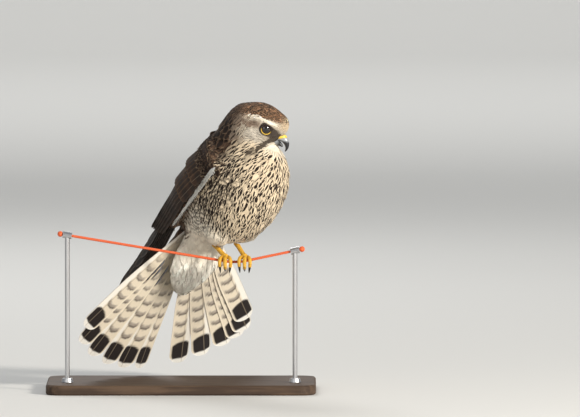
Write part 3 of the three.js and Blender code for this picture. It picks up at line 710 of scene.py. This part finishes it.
def coat_vanes(name, surface, roots, out, lie, length, width, lift, colours, marks, places, material):
    """Thin cupped vanes in pieces of a few thousand; all sizes in millimetres."""
    pieces = []
    lie = unit(lie - out * np.sum(lie * out, 1)[:, None])
    s = np.linspace(0, 1, COAT_ROWS)[:, None]
    c = np.linspace(-1, 1, COAT_COLUMNS)
    middle, facing = walk(surface, roots, out, lie, length / (COAT_ROWS - 1))
    along = unit(np.gradient(middle, axis=1))
    across = unit(np.cross(facing, along))
    quads, *_ = grid_faces(COAT_ROWS, COAT_COLUMNS)
    block = COAT_ROWS * COAT_COLUMNS
    for first in range(0, len(roots), COAT_PIECE_VANES):
        part = slice(first, first + COAT_PIECE_VANES)
        size = len(roots[part])
        long = length[part][:, None, None]
        ragged = 1 + 0.1 * rng.standard_normal((size, COAT_ROWS, 1))
        wave = 0.05 * rng.standard_normal((size, 1, COAT_COLUMNS)) * s**3
        slip = long * (wave - 0.07 * c**2 * s**2)
        half = 0.5 * width[part][:, None, None] * VANE_OUTLINE[:, None] * ragged
        reach = long * s
        rise = reach * np.tan(lift[part])[:, None, None] - CURL * reach * s**2
        rise = rise - CUP * half * c**2 - ROOT_SINK * long
        grid = middle[part][:, :, None] + along[part][:, :, None] * slip[..., None]
        grid = grid + across[part][:, :, None] * (half * c)[..., None]
        grid = grid + facing[part][:, :, None] * rise[..., None]
        faces = (quads[None] + (np.arange(size) * block)[:, None, None]).reshape(-1, 4)
        piece = mesh_object(f"{name}_{len(pieces) + 1}", grid.reshape(-1, 3), faces, material)
        uv = np.repeat(grid_uv(c, s)[None], size, 0)
        baked = places[part][:, None, :] + (uv - 0.5) * BAKE_PATCH
        corner_uvs(piece.data, "OFBake", baked.reshape(-1, 2))
        corner_uvs(piece.data, "Vane", uv.reshape(-1, 2))
        point_colours(piece.data, "base", np.repeat(colours[part], block, 0))
        point_colours(piece.data, "mark", np.repeat(marks[part], block, 0))
        pieces.append(piece)
    return pieces


def scattered(obj, tries):
    """Random places over a mesh with their normals, in millimetres."""
    points, normals = points_of(obj), normals_of(obj)
    obj.data.calc_loop_triangles()
    triangles = np.empty(len(obj.data.loop_triangles) * 3, int)
    obj.data.loop_triangles.foreach_get("vertices", triangles)
    corners = triangles.reshape(-1, 3)
    a, b, c = (points[corners[:, i]] for i in range(3))
    area = np.linalg.norm(np.cross(b - a, c - a), axis=1)
    pick = rng.choice(len(corners), tries, p=area / area.sum())
    r1, r2 = np.sqrt(rng.random(tries))[:, None], rng.random(tries)[:, None]
    shares = np.stack([1 - r1, r1 * (1 - r2), r1 * r2], 1)[..., 0]
    where = np.einsum("ij,ijk->ik", shares, points[corners[pick]])
    facing = unit(np.einsum("ij,ijk->ik", shares, normals[corners[pick]]))
    return where, facing


def spaced(points, gaps):
    """The places kept when each wants its own gap from the ones kept before."""
    cell = float(gaps.max())
    grid, kept = {}, []
    for i, (x, y, z) in enumerate(np.floor(points / cell).astype(int).tolist()):
        near = [j for dx, dy, dz in AROUND for j in grid.get((x + dx, y + dy, z + dz), ())]
        if near:
            apart = points[near] - points[i]
            if (apart * apart).sum(1).min() < gaps[i] ** 2:
                continue
        grid.setdefault((x, y, z), []).append(i)
        kept.append(i)
    return np.array(kept)


def eye_centre(side):
    return head.out([EYE_AT[0], side * EYE_AT[1], EYE_AT[2]])


def coat_over(skin, material):
    """Small vanes all over the skin, but for the eyes and the bill."""
    where, facing = scattered(skin, FULL_TRIES)
    colour, mark, spacing, lie, on_head, back, vent = region(where)
    clear = np.ones(len(where), bool)
    for side in (-1, 1):
        clear &= np.linalg.norm(where - eye_centre(side), axis=1) > EYE_RADIUS + EYE_CLEAR
    bill = [surface_of(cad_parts[node]) for node in ("cere", "bill_upper", "bill_lower")]
    for i in np.flatnonzero(head.local(where)[:, 0] > 12):
        clear[i] &= all(part.find_nearest(where[i], BILL_CLEAR)[0] is None for part in bill)
    chosen = np.flatnonzero(clear)
    chosen = chosen[spaced(where[chosen], spacing[chosen])]
    pieces = []
    surface = surface_of(skin)
    off_head = 1 - on_head
    own = {"coat_head": on_head > 0.5}
    own["coat_back"] = ~own["coat_head"] & (back > 0.5)
    own["coat_under"] = ~own["coat_head"] & (back <= 0.5)
    for name, wanted in own.items():
        k = chosen[wanted[chosen]]
        count = len(k)
        jitter = rng.standard_normal((count, 3)) * 0.09
        length = spacing[k] * (4.2 + 0.8 * off_head[k] + 1.6 * vent[k]) * rng.uniform(0.85, 1.2, count)
        width = length * mix(mix(0.42, 0.30, on_head[k]), 0.62, back[k] * off_head[k])
        width = width * (1 - 0.45 * vent[k])
        degrees = mix(9.0, 8.0, on_head[k]) + 2.0 * rng.standard_normal(count)
        lift = np.radians(np.clip(degrees, 4, 15))
        tone = rng.choice([0.3, 0.9, 2.4], count, p=[0.35, 0.35, 0.3])
        shade = mix(1.0, tone, crown_at(where[k]))[:, None]
        shade = shade * rng.uniform(0.88, 1.12, (count, 1))
        streaked = rng.uniform(0.55, 1.3, count) * (rng.random(count) < MARKED_SHARE)
        marks = mark[k]
        marks[:, 0] *= streaked
        pieces += coat_vanes(
            name, surface, where[k], facing[k], lie[k] + jitter, length, width, lift,
            np.clip(colour[k] * shade, 0, 1), marks, bake_place(where[k]), material,
        )
    return pieces


# Flight and tail feathers
def big_feather(line, face, outer, inner, paint, stations, columns, blunt, flat=0.25, tilt=0.0):
    """Points, faces, colours and vane coordinates of one closed feather, in millimetres."""
    v = 1 - (1 - np.linspace(0, 1, stations)) ** 1.35
    centre = np.array([line(t) for t in v])
    along = unit(np.array([line(t + 0.004) - line(t - 0.004) for t in v]))
    out = unit(np.array([face(t) for t in v]))
    across = unit(np.cross(out, along))
    taper = 0.42 + 0.58 * smooth(v, 0, 0.62)
    rounding = np.clip((v - blunt) / (1.002 - blunt), 0, 1) ** 2.2
    width = taper * np.sqrt(np.clip(1 - rounding, 0.004, 1))
    c = np.linspace(-1, 1, columns + 1)
    half = width[:, None] * np.where(c < 0, c * outer, c * inner)
    lift = tilt * c - flat * np.abs(c) * width[:, None]
    layers = []
    for side in (1, -1):
        rise = lift + side * FEATHER_THICKNESS * 0.5 * (1 - 0.6 * np.abs(c))
        grid = centre[:, None] + across[:, None] * half[..., None] + out[:, None] * rise[..., None]
        layers.append(grid.reshape(-1, 3))
    quads, rim, nxt = grid_faces(stations, columns + 1)
    back = len(layers[0])
    edge = np.stack([rim, rim + back, nxt + back, nxt], 1)
    faces = np.concatenate([quads[:, ::-1], quads + back, edge])
    uv = grid_uv(c, v[:, None])
    colours = np.concatenate([paint(*uv.T, side) for side in (1, -1)])
    return np.concatenate(layers), faces, colours, np.concatenate([uv, uv])


def feather_piece(name, feathers, material):
    """One mesh of several feathers, each with a bake strip for its front and one for its back."""
    share = 1 / len(feathers)
    bake = []
    for i, (_, _, _, uv) in enumerate(feathers):
        strip = uv * [0.45 * share, 0.96] + [(i + 0.01) * share, 0.02]
        strip[len(uv) // 2 :, 0] += 0.5 * share
        bake.append(strip)
    made = mesh_object(name, *as_one(feathers), material)
    corner_uvs(made.data, "OFBake", np.concatenate(bake))
    corner_uvs(made.data, "Vane", np.concatenate([uv for *_, uv in feathers]))
    colours = np.concatenate([own for _, _, own, _ in feathers])
    point_colours(made.data, "base", np.clip(colours, 0, 1))
    return made


def tail_paint(side, length):
    """Cream with dark bars below, brown with bars above, a black band and a white tip."""

    def paint(u, v, face):
        inner = u if side < 0 else 1 - u
        off = np.abs(u - 0.5) * 2
        from_tip = (1 - v) * length
        tip = 1 - smooth(from_tip, 4.2 + 1.6 * off, 5.6 + 1.6 * off)
        band = 1 - smooth(from_tip + 5.0 * off**2.5, 24.5, 26.5)
        band = band * window(inner, 0.03, 0.09, 0.90, 0.97)
        past = from_tip - 24 - 7.0 * (inner - 0.66) ** 2 / 0.12
        wave = (past % BAR_SPACING) / BAR_SPACING
        strong = mix(1.0, 0.45, smooth(from_tip, 60, 115)) * (past > 2)
        bar = window(wave, 0.50, 0.57, 0.86, 0.95) * strong
        rim = window(wave, 0.48, 0.54, 0.60, 0.72) * strong
        if face > 0:
            colour = blend(TAIL_BELOW, WHITE, smooth(1 - inner, 0.52, 0.7))
            fade = window(inner, 0.36, 0.44, 0.86, 0.95) * (1 - smooth(from_tip, 112, 145)) * 0.85
            colour = blend(colour, TAIL_BELOW_BAR, bar * fade)
            colour = blend(colour, TAIL_BELOW_RIM, rim * fade)
        else:
            colour = blend(TAIL_ABOVE, TAIL_ABOVE_BAR, bar)
        return blend(blend(colour, TAIL_BAND, band), TAIL_TIP, tip)

    return paint


def tail_feathers(material):
    made = []
    last = len(TAIL_GRADUATION) - 1
    wide, narrow = TAIL_VANE * 1.15, TAIL_VANE * 0.62
    for side in (-1, 1):
        for rank, shorter in enumerate(TAIL_GRADUATION):
            length = TAIL_CENTRE_LENGTH - shorter
            turn = math.radians(TAIL_ANGLES[side][rank])
            root_y = side * mix(2.4, TAIL_ROOT_HALF_WIDTH, rank / last)
            stack = -TAIL_STACK * (rank - last / 2)

            def line(v, length=length, turn=turn, root_y=root_y, stack=stack):
                forward = -v * length * math.cos(turn)
                return tail.out([forward, root_y + v * length * math.sin(turn), stack - 5 * v * v])

            outer = wide if side > 0 else narrow
            inner = narrow if side > 0 or rank == 0 else wide
            paint = tail_paint(side, length)
            made.append(big_feather(line, lambda v: -tail.axes[2], outer, inner, paint, 90, 20, 0.925))
    return feather_piece("tail_feathers", made, material)


def along_wing(values, x):
    slope = (values[3] - values[2]) / (WING_X[3] - WING_X[2])
    inside = np.interp(x, WING_X, values)
    return np.where(np.asarray(x) > WING_X[3], values[3] + slope * (np.asarray(x) - WING_X[3]), inside)


def wing_point(side, x, b, lift):
    """A point of a folded wing: x along the body, b from lower edge to top, and a lift off it."""
    ey, ez = along_wing(WING_EDGE_Y, x), along_wing(WING_EDGE_Z, x)
    ty, tz = along_wing(WING_TOP_Y, x), along_wing(WING_TOP_Z, x)
    turn = b * math.pi / 2
    y = ty + (ey - ty) * np.cos(turn) + lift * np.cos(turn * 0.9)
    z = ez + (tz - ez) * np.sin(turn) + lift * np.sin(turn * 0.9)
    return body.out(np.stack(np.broadcast_arrays(np.asarray(x, float), side * y, z), -1))


def wing_out(side, x, b):
    return wing_point(side, x, b, 1.0) - wing_point(side, x, b, 0.0)


def wing_lie(side, x, b):
    return unit(wing_point(side, x - 1, b, 0.0) - wing_point(side, x, b, 0.0))


def wing_places(x, b):
    return np.stack([0.5 + (x + 60) / 250, 0.02 + b * 0.9], 1)


def arm_shell(side):
    """The closed, smooth arm of a folded wing that its coverts lie on."""
    us, vs = np.linspace(0, 1, 22), np.linspace(0, 1, 30)
    u, v = (grid.ravel() for grid in np.meshgrid(us, vs, indexing="ij"))
    x = mix(ARM_REAR, ARM_FRONT, v)
    pinch = np.sin(math.pi * mix(0.06, 0.94, u)) ** 0.5
    ends = np.sin(math.pi * mix(0.2, 0.97, v)) ** 0.5
    depth = mix(4.0, 16.0, smooth(x, -62, -25))
    outer = wing_point(side, x, mix(0.02, 0.9, u), 4.2 * pinch * ends)
    inner = wing_point(side, x, mix(0.02, 0.9, u), -1.6 - depth * ends)
    quads, rim, nxt = grid_faces(len(us), len(vs))
    quads = quads[:, [0, 3, 2, 1]]
    back = len(outer)
    edge = np.stack([rim, nxt, nxt + back, rim + back], 1)
    faces = np.concatenate([quads, quads[:, ::-1] + back, edge])
    faces = faces if side > 0 else faces[:, ::-1]
    return np.concatenate([outer, inner]), faces.tolist()


def wing_feather(side, root, tip, lifts, widths, paint, stations, tilt):
    """One long feather between a root and a tip, each given as x and b of the wing."""

    def spot(v):
        return mix(root[0], tip[0], v), mix(root[1], tip[1], v)

    def line(v):
        return wing_point(side, *spot(v), mix(lifts[0], lifts[1], v))

    def face(v):
        return wing_out(side, *spot(v))

    outer, inner = (widths[1], widths[0]) if side > 0 else widths
    return big_feather(line, face, outer, inner, paint, stations, 6, 0.86, flat=0.3, tilt=side * tilt)


def wing_paint(ground, bars, bar_length, edge, side, length):
    """Brown with bars and a paler rim above, pale below; the brown above is darkened with painted shade.
    """

    def paint(u, v, face):
        leading = u if side > 0 else 1 - u
        colour = np.tile(ground if face > 0 else WING_BELOW, (len(u), 1))
        wave = ((1 - v) * length / bar_length) % 1
        colour = blend(colour, WING_BAR, window(wave, 0.45, 0.55, 0.92, 1.0) * bars)
        rim = np.maximum(smooth(np.abs(u - 0.5) * 2, 0.82, 0.98), smooth(v, 0.955, 0.99)) * edge
        return blend(colour, WING_RIM, rim * (0.5 + 0.3 * leading))

    return paint


def flight_feathers(side):
    """Primaries, secondaries and larger coverts of one wing."""
    made = []
    # The wing browns and their weak pale rims are partly the feathers' own colour and partly painted
    # shade
    paint = wing_paint(PRIMARY_BROWN_AND_SHADE, 0, 12, 0.25, side, PRIMARY_LENGTH)
    for i in range(PRIMARIES):
        t = i / (PRIMARIES - 1)
        past = max(0, i - 2)
        short = 12 if i == 0 else 7 * past + 5 * past**1.2
        stack = -2.6 + 0.95 * i
        tip = (WING_X[0] + short, mix(0.12, 0.42, t))
        root = (-36, mix(0.1, 0.5, t))
        made.append(wing_feather(side, root, tip, (stack * 0.5, stack), (7.4, 9.4), paint, 30, 0))
    paint = wing_paint(SECONDARY_BROWN_AND_SHADE, 0.8, 15, 0.4, side, SECONDARY_LENGTH)
    for i in range(SECONDARIES):
        t = i / (SECONDARIES - 1)
        tip = (mix(-92, -112, t**0.8), mix(0.22, 0.86, t))
        root = (mix(-20, -38, t), mix(0.16, 0.84, t))
        made.append(wing_feather(side, root, tip, (2.4, 5.4 + 0.3 * i), (8, 9.5), paint, 22, 0.55))
    for count, root_x, length, lifts, half in COVERT_TIERS:
        paint = wing_paint(COVERT_BROWN_AND_SHADE, 0.75, 13, 0.45, side, length)
        for i in range(count):
            t = (i + 0.5) / count
            b = mix(0.08, 0.88, t)
            root, tip = (root_x - 6 * t, b), (root_x - length - 10 * t, b + 0.02)
            made.append(wing_feather(side, root, tip, lifts, (half, half), paint, 16, 0.6))
    return made


def small_coverts(side, name, coat):
    """Small feathers over the arm, and narrow white ones along its lower rim."""
    points, faces = arm_shell(side)
    arm = BVHTree.FromPolygons(points.tolist(), faces)
    xs, bs = np.meshgrid(np.arange(-8, ARM_FRONT, SMALL_COVERT_GAP), np.linspace(0.03, 0.98, 17))
    rim_x = np.arange(-66, ARM_FRONT - 3, 1.5)
    rim_b = np.tile([-0.03, 0.0, 0.035], (len(rim_x), 1))
    xs = np.concatenate([xs.ravel(), np.repeat(rim_x, 3)])
    bs = np.concatenate([bs.ravel(), rim_b.ravel()])
    xs = xs + rng.uniform(-1.0, 1.0, xs.shape)
    bs = bs + rng.uniform(-0.008, 0.008, bs.shape)
    count = len(xs)
    roots = wing_point(side, xs, bs, mix(3.9, 0.5, smooth(xs, 12, ARM_FRONT)))
    out = unit(wing_out(side, xs, bs))
    rim = 1 - smooth(bs, 0.04, 0.075)
    narrow = mix(1.0, mix(0.6, 0.14, smooth(-xs, -24, 50)), rim)
    colours = blend(SMALL_COVERT_BROWN, WING_EDGE_WHITE, rim)
    colours = np.clip(colours * mix(rng.uniform(0.8, 1.2, count), 1.0, rim)[:, None], 0, 1)
    marks = (1 - rim)[:, None] * [0.3, 0.75, 0.6]
    length = np.where(rim > 0.5, 7.5, 12.5) * rng.uniform(0.9, 1.15, count)
    lift = np.radians(mix(rng.uniform(4, 9, count), 2.0, smooth(xs, 0, 14) * (1 - rim)))
    return coat_vanes(
        f"{name}_coverts", arm, roots, out, wing_lie(side, xs, bs), length, length * 0.68 * narrow, lift,
        colours, marks, wing_places(xs, bs), coat,
    )


def shoulder_feathers(side, name, surface, coat):
    """Larger feathers that lie back over the front of the folded wing."""
    xs, bs = np.meshgrid(np.arange(22, 48, 3.6), np.linspace(0.1, 0.76, 13))
    count = xs.size
    xs = xs.ravel() + rng.uniform(-1.6, 1.6, count)
    bs = bs.ravel() + rng.uniform(-0.02, 0.02, count)
    roots, out = nearest_on(surface, wing_point(side, xs, bs, 2.0))
    front = smooth(xs, 28, 46)
    length = rng.uniform(15, 18, count) * mix(1.0, 0.7, front)
    lift = np.radians(mix(17.0, 8.0, front) + rng.uniform(-1.5, 1.5, count))
    colours = SHOULDER_BROWN * rng.uniform(0.75, 1.3, (count, 1))
    marks = np.tile((0.35, 0.6, 0.7), (count, 1))
    return coat_vanes(
        f"{name}_shoulder", surface, roots, out, wing_lie(side, xs, bs), length, length * 0.5, lift,
        colours, marks, wing_places(xs, np.clip(bs, 0, 1)), coat,
    )


def slate_coverts(surface, coat):
    """A few dark, narrow feathers beside the under tail coverts."""
    count = len(SLATE_ANGLES)
    turn = np.radians(SLATE_ANGLES)
    way = np.stack([-np.cos(turn), np.sin(turn), np.zeros(count)], 1)
    roots, _ = nearest_on(surface, tail.out(way * SLATE_START[:, None] + [0.0, -4.0, -14.0]))
    out = np.tile(-tail.axes[2], (count, 1))
    length = rng.uniform(19, 27, count)
    colours = SLATE * rng.uniform(0.6, 1.6, (count, 1))
    marks = np.tile((0.5, 0.0, 0.8), (count, 1))
    places = np.stack([0.4 + 0.01 * np.arange(count), np.full(count, 0.37)], 1)
    lift = np.radians(rng.uniform(2, 6, count))
    return coat_vanes(
        "slate_coverts", surface, roots, out, tail.turn(way), length, length * 0.2, lift,
        colours, marks, places, coat,
    )


# Eyes, bill, feet and twine
def eye(side, material):
    look = head.turn([math.sin(EYE_TURN), side * math.cos(EYE_TURN), 0.02])
    centre = eye_centre(side)
    bpy.ops.mesh.primitive_uv_sphere_add(segments=48, ring_count=32, radius=EYE_RADIUS * MM)
    ball = bpy.context.object
    ball.name = "eyeball_" + ("right" if side < 0 else "left")
    ball.data.transform(Vector((0, 0, 1)).rotation_difference(Vector(look)).to_matrix().to_4x4())
    ball.data.transform(Matrix.Translation(Vector(centre * MM)))
    bpy.ops.object.shade_smooth()
    ball.data.materials.append(material)
    facing = unit(points_of(ball) - centre) @ look
    point_colours(ball.data, "base", blend(EYE_BROWN, PUPIL, smooth(facing, 0.90, 0.925)))
    return ball


def twine_line(x):
    """The twine's middle: level at the feet, then rising to both ends."""
    rise = np.where(x < 0, TWINE_RISE[0], TWINE_RISE[1])
    past = np.maximum(0, np.abs(x) - TWINE_FLAT)
    soft = np.where(past > 8, past - 4, past * past / 16)
    return np.stack([x, 0 * x, GRIP_HEIGHT + np.tan(rise) * soft], 1)


def tube(centres, radius, sides):
    """Points and faces of a closed round tube along a line."""
    along = unit(np.gradient(centres, axis=0))
    across = unit(np.cross(along, [0.0, 1.0, 0.001]))
    up = np.cross(across, along)
    turn = np.linspace(0, 2 * math.pi, sides, endpoint=False)
    ring = np.cos(turn)[None, :, None] * across[:, None] + np.sin(turn)[None, :, None] * up[:, None]
    points = (centres[:, None] + ring * np.asarray(radius).reshape(-1, 1, 1)).reshape(-1, 3)
    block = np.arange(len(points)).reshape(-1, sides)
    nxt = np.roll(block, -1, 1)
    faces = np.stack([block[:-1], nxt[:-1], nxt[1:], block[1:]], -1).reshape(-1, 4).tolist()
    return points, faces + [block[0][::-1].tolist(), block[-1].tolist()]


def twine(material):
    x = np.linspace(*TWINE_ENDS, 900)
    middle = twine_line(x)
    shells = []
    for strand in range(TWINE_STRANDS):
        turn = x * 2 * math.pi / TWINE_LAY + strand * 2 * math.pi / TWINE_STRANDS
        offset = np.stack([0 * x, np.cos(turn), np.sin(turn)], 1) * TWINE_RADIUS * 0.46
        shells.append(tube(middle + offset, TWINE_RADIUS * 0.62, 8))
    for end, way in zip(TWINE_ENDS, (-1, 1)):
        at = twine_line(np.array([end]))[0]
        reach = np.linspace(-KNOT_REACH, KNOT_REACH, 9)
        knot = np.array([at + [way * d, 0, 0] for d in reach])
        radius = np.sqrt(np.clip(1 - (reach / KNOT_RADIUS) ** 2, 0, 1)) * KNOT_RADIUS
        shells.append(tube(knot, radius, 14))
    return mesh_object("twine", *as_one(shells), material)


def bare_parts():
    """Legs, lids, claws, cere and bill, each a smooth copy of its solids."""
    yellow = mottled("yellow_skin", (0.80, 0.47, 0.05), (0.70, 0.34, 0.03), 500.0, 0.42, 0.7)
    cere_skin = mottled("cere_skin", (0.86, 0.58, 0.07), (0.80, 0.46, 0.05), 400.0, 0.35, 0.15)
    lid_skin = painted("lid_skin", 0.45)
    claw = mottled("claw_horn", (0.018, 0.016, 0.015), (0.05, 0.045, 0.04), 300.0, 0.25, 0)
    horn = bill_material()
    leg_voxel = 0.28
    made = []
    for name in ("right", "left"):
        nodes = [f"tarsus_{name}", f"foot_{name}"]
        leg = fused_copy(f"leg_{name}", nodes, yellow, swell=0.2, voxel=leg_voxel, rounds=4, sink=0.1)
        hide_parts(*nodes)
        lid = fused_copy(f"lid_{name}", [f"eyelid_{name}"], lid_skin, swell=-0.2)
        height = head.local(points_of(lid))[:, 2] - EYE_AT[2]
        point_colours(lid.data, "base", blend(DARK, LID_YELLOW, 1 - smooth(height, -3.0, 0.5)))
        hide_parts(f"eyelid_{name}")
        made += [leg, lid]
        for k in range(1, 5):
            node = f"claw_{name}_{k}"
            nail = fused_copy(f"nail_{name}_{k}", [node], claw, swell=0.05, voxel=0.22)
            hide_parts(node)
            made.append(nail)
    cere = fused_copy("cere_bare", ["cere"], cere_skin, swell=0.12)
    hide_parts("cere")
    made.append(cere)
    for node in ("bill_upper", "bill_lower"):
        part = fused_copy(node + "_horn", [node], horn, swell=0.1)
        hx, _, hz = head.local(points_of(part)).T
        tip = smooth(-hz + 0.25 * hx, 12.8, 16.0) if node == "bill_upper" else smooth(hx, 20, 25)
        point_colours(part.data, "base", blend(HORN_GREY, HORN_TIP, tip))
        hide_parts(node)
        made.append(part)
    return made


# Room and light
def room():
    floor_material, n = shader("pale_floor", 0.8)
    n.colour((0.72, 0.71, 0.68, 1))
    steps = [(-14.0, 0.0), (9.0, 0.0)]
    steps += [(9.0 + 3 * math.sin(a), 3 - 3 * math.cos(a)) for a in np.linspace(0.05, math.pi / 2, 24)]
    steps.append((12.0, 14.0))
    points = np.array([(x, y, z) for y, z in steps for x in (-14, 14)]) / MM
    faces = [(2 * i, 2 * i + 1, 2 * i + 3, 2 * i + 2) for i in range(len(steps) - 1)]
    floor = mesh_object("floor", points, faces, floor_material)


def area_light(name, place, size, power, colour=(1, 1, 1), target=(0.0, 0.0, 0.2)):
    data = bpy.data.lights.new(name, "AREA")
    data.shape = "DISK"
    data.size, data.energy, data.color = size, power, colour
    lamp = in_scene(name, data)
    lamp.location = place
    lamp.rotation_euler = (Vector(target) - Vector(place)).to_track_quat("-Z", "Y").to_euler()


def lights():
    area_light("key", (2.1, -2.3, 1.25), 0.6, 135, (1.0, 0.95, 0.87))
    area_light("fill", (-1.6, -2.6, 0.5), 2.4, 17, (1.0, 0.98, 0.94))
    area_light("rim", (-0.6, 2.4, 2.2), 1.4, 38)
    area_light("backdrop", (0, 5.5, 5.5), 3.0, 260, target=(0, 12, 1.5))
    world = bpy.data.worlds.new("studio")
    world.use_nodes = True
    background = world.node_tree.nodes["Background"]
    background.inputs["Color"].default_value = (0.86, 0.9, 0.95, 1)
    background.inputs["Strength"].default_value = 0.34
    bpy.context.scene.world = world
    bpy.context.scene.view_settings.view_transform = "Standard"


def camera():
    data = bpy.data.cameras.new("camera")
    data.lens = LENS
    data.clip_end = 60.0
    seen = in_scene("camera", data)
    x, y, z = VIEW_TARGET
    y -= VIEW_DISTANCE * math.cos(VIEW_ELEVATION)
    z += VIEW_DISTANCE * math.sin(VIEW_ELEVATION)
    seen.location = (x, y, z)
    seen.rotation_euler = (math.pi / 2 - VIEW_ELEVATION, 0, 0)
    bpy.context.scene.camera = seen


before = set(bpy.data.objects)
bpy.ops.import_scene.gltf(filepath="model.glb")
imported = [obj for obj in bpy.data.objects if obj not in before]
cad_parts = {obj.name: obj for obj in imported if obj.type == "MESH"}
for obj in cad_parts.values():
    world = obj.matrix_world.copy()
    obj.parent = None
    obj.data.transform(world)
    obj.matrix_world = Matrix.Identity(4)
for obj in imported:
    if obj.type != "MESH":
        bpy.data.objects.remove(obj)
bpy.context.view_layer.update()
camera()
lights()
room()

plumage = plumage_material()
flight = flight_material()
skin = body_skin(skin_material())
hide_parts(*FLESH)

riders = [skin, tail_feathers(flight)]
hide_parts("tail_right", "tail_left")
riders += coat_over(skin, plumage)
riders += slate_coverts(surface_of(riders[1]), plumage)
for side, name in ((-1, "wing_right"), (1, "wing_left")):
    pieces = [feather_piece(f"{name}_flight", flight_feathers(side), flight)]
    pieces += small_coverts(side, name, plumage)
    pieces += shoulder_feathers(side, name, surface_of(skin), plumage)
    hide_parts(name)
    riders += pieces
wet = painted("wet_eye", 0.06, Coat_Weight=0.6)
for side, node in ((-1, "eye_right"), (1, "eye_left")):
    ball = eye(side, wet)
    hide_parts(node)
    riders.append(ball)
riders += bare_parts()
string = twine(mottled("orange_fibre", (0.78, 0.14, 0.035), (0.62, 0.09, 0.025), 900.0, 0.6, 0))
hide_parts("perch_twine")
riders.append(string)
for piece in riders:
    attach(piece, "root")

wood = wood_material()
steel = mottled("satin_steel", (0.62, 0.62, 0.63), (0.5, 0.5, 0.51), 200.0, 0.32, 0, Metallic=1.0)
for node, material in (("stand_base", wood), ("stand_rod_left", steel), ("stand_rod_right", steel)):
    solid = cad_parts[node]
    solid.data.materials.clear()
    solid.data.materials.append(material)
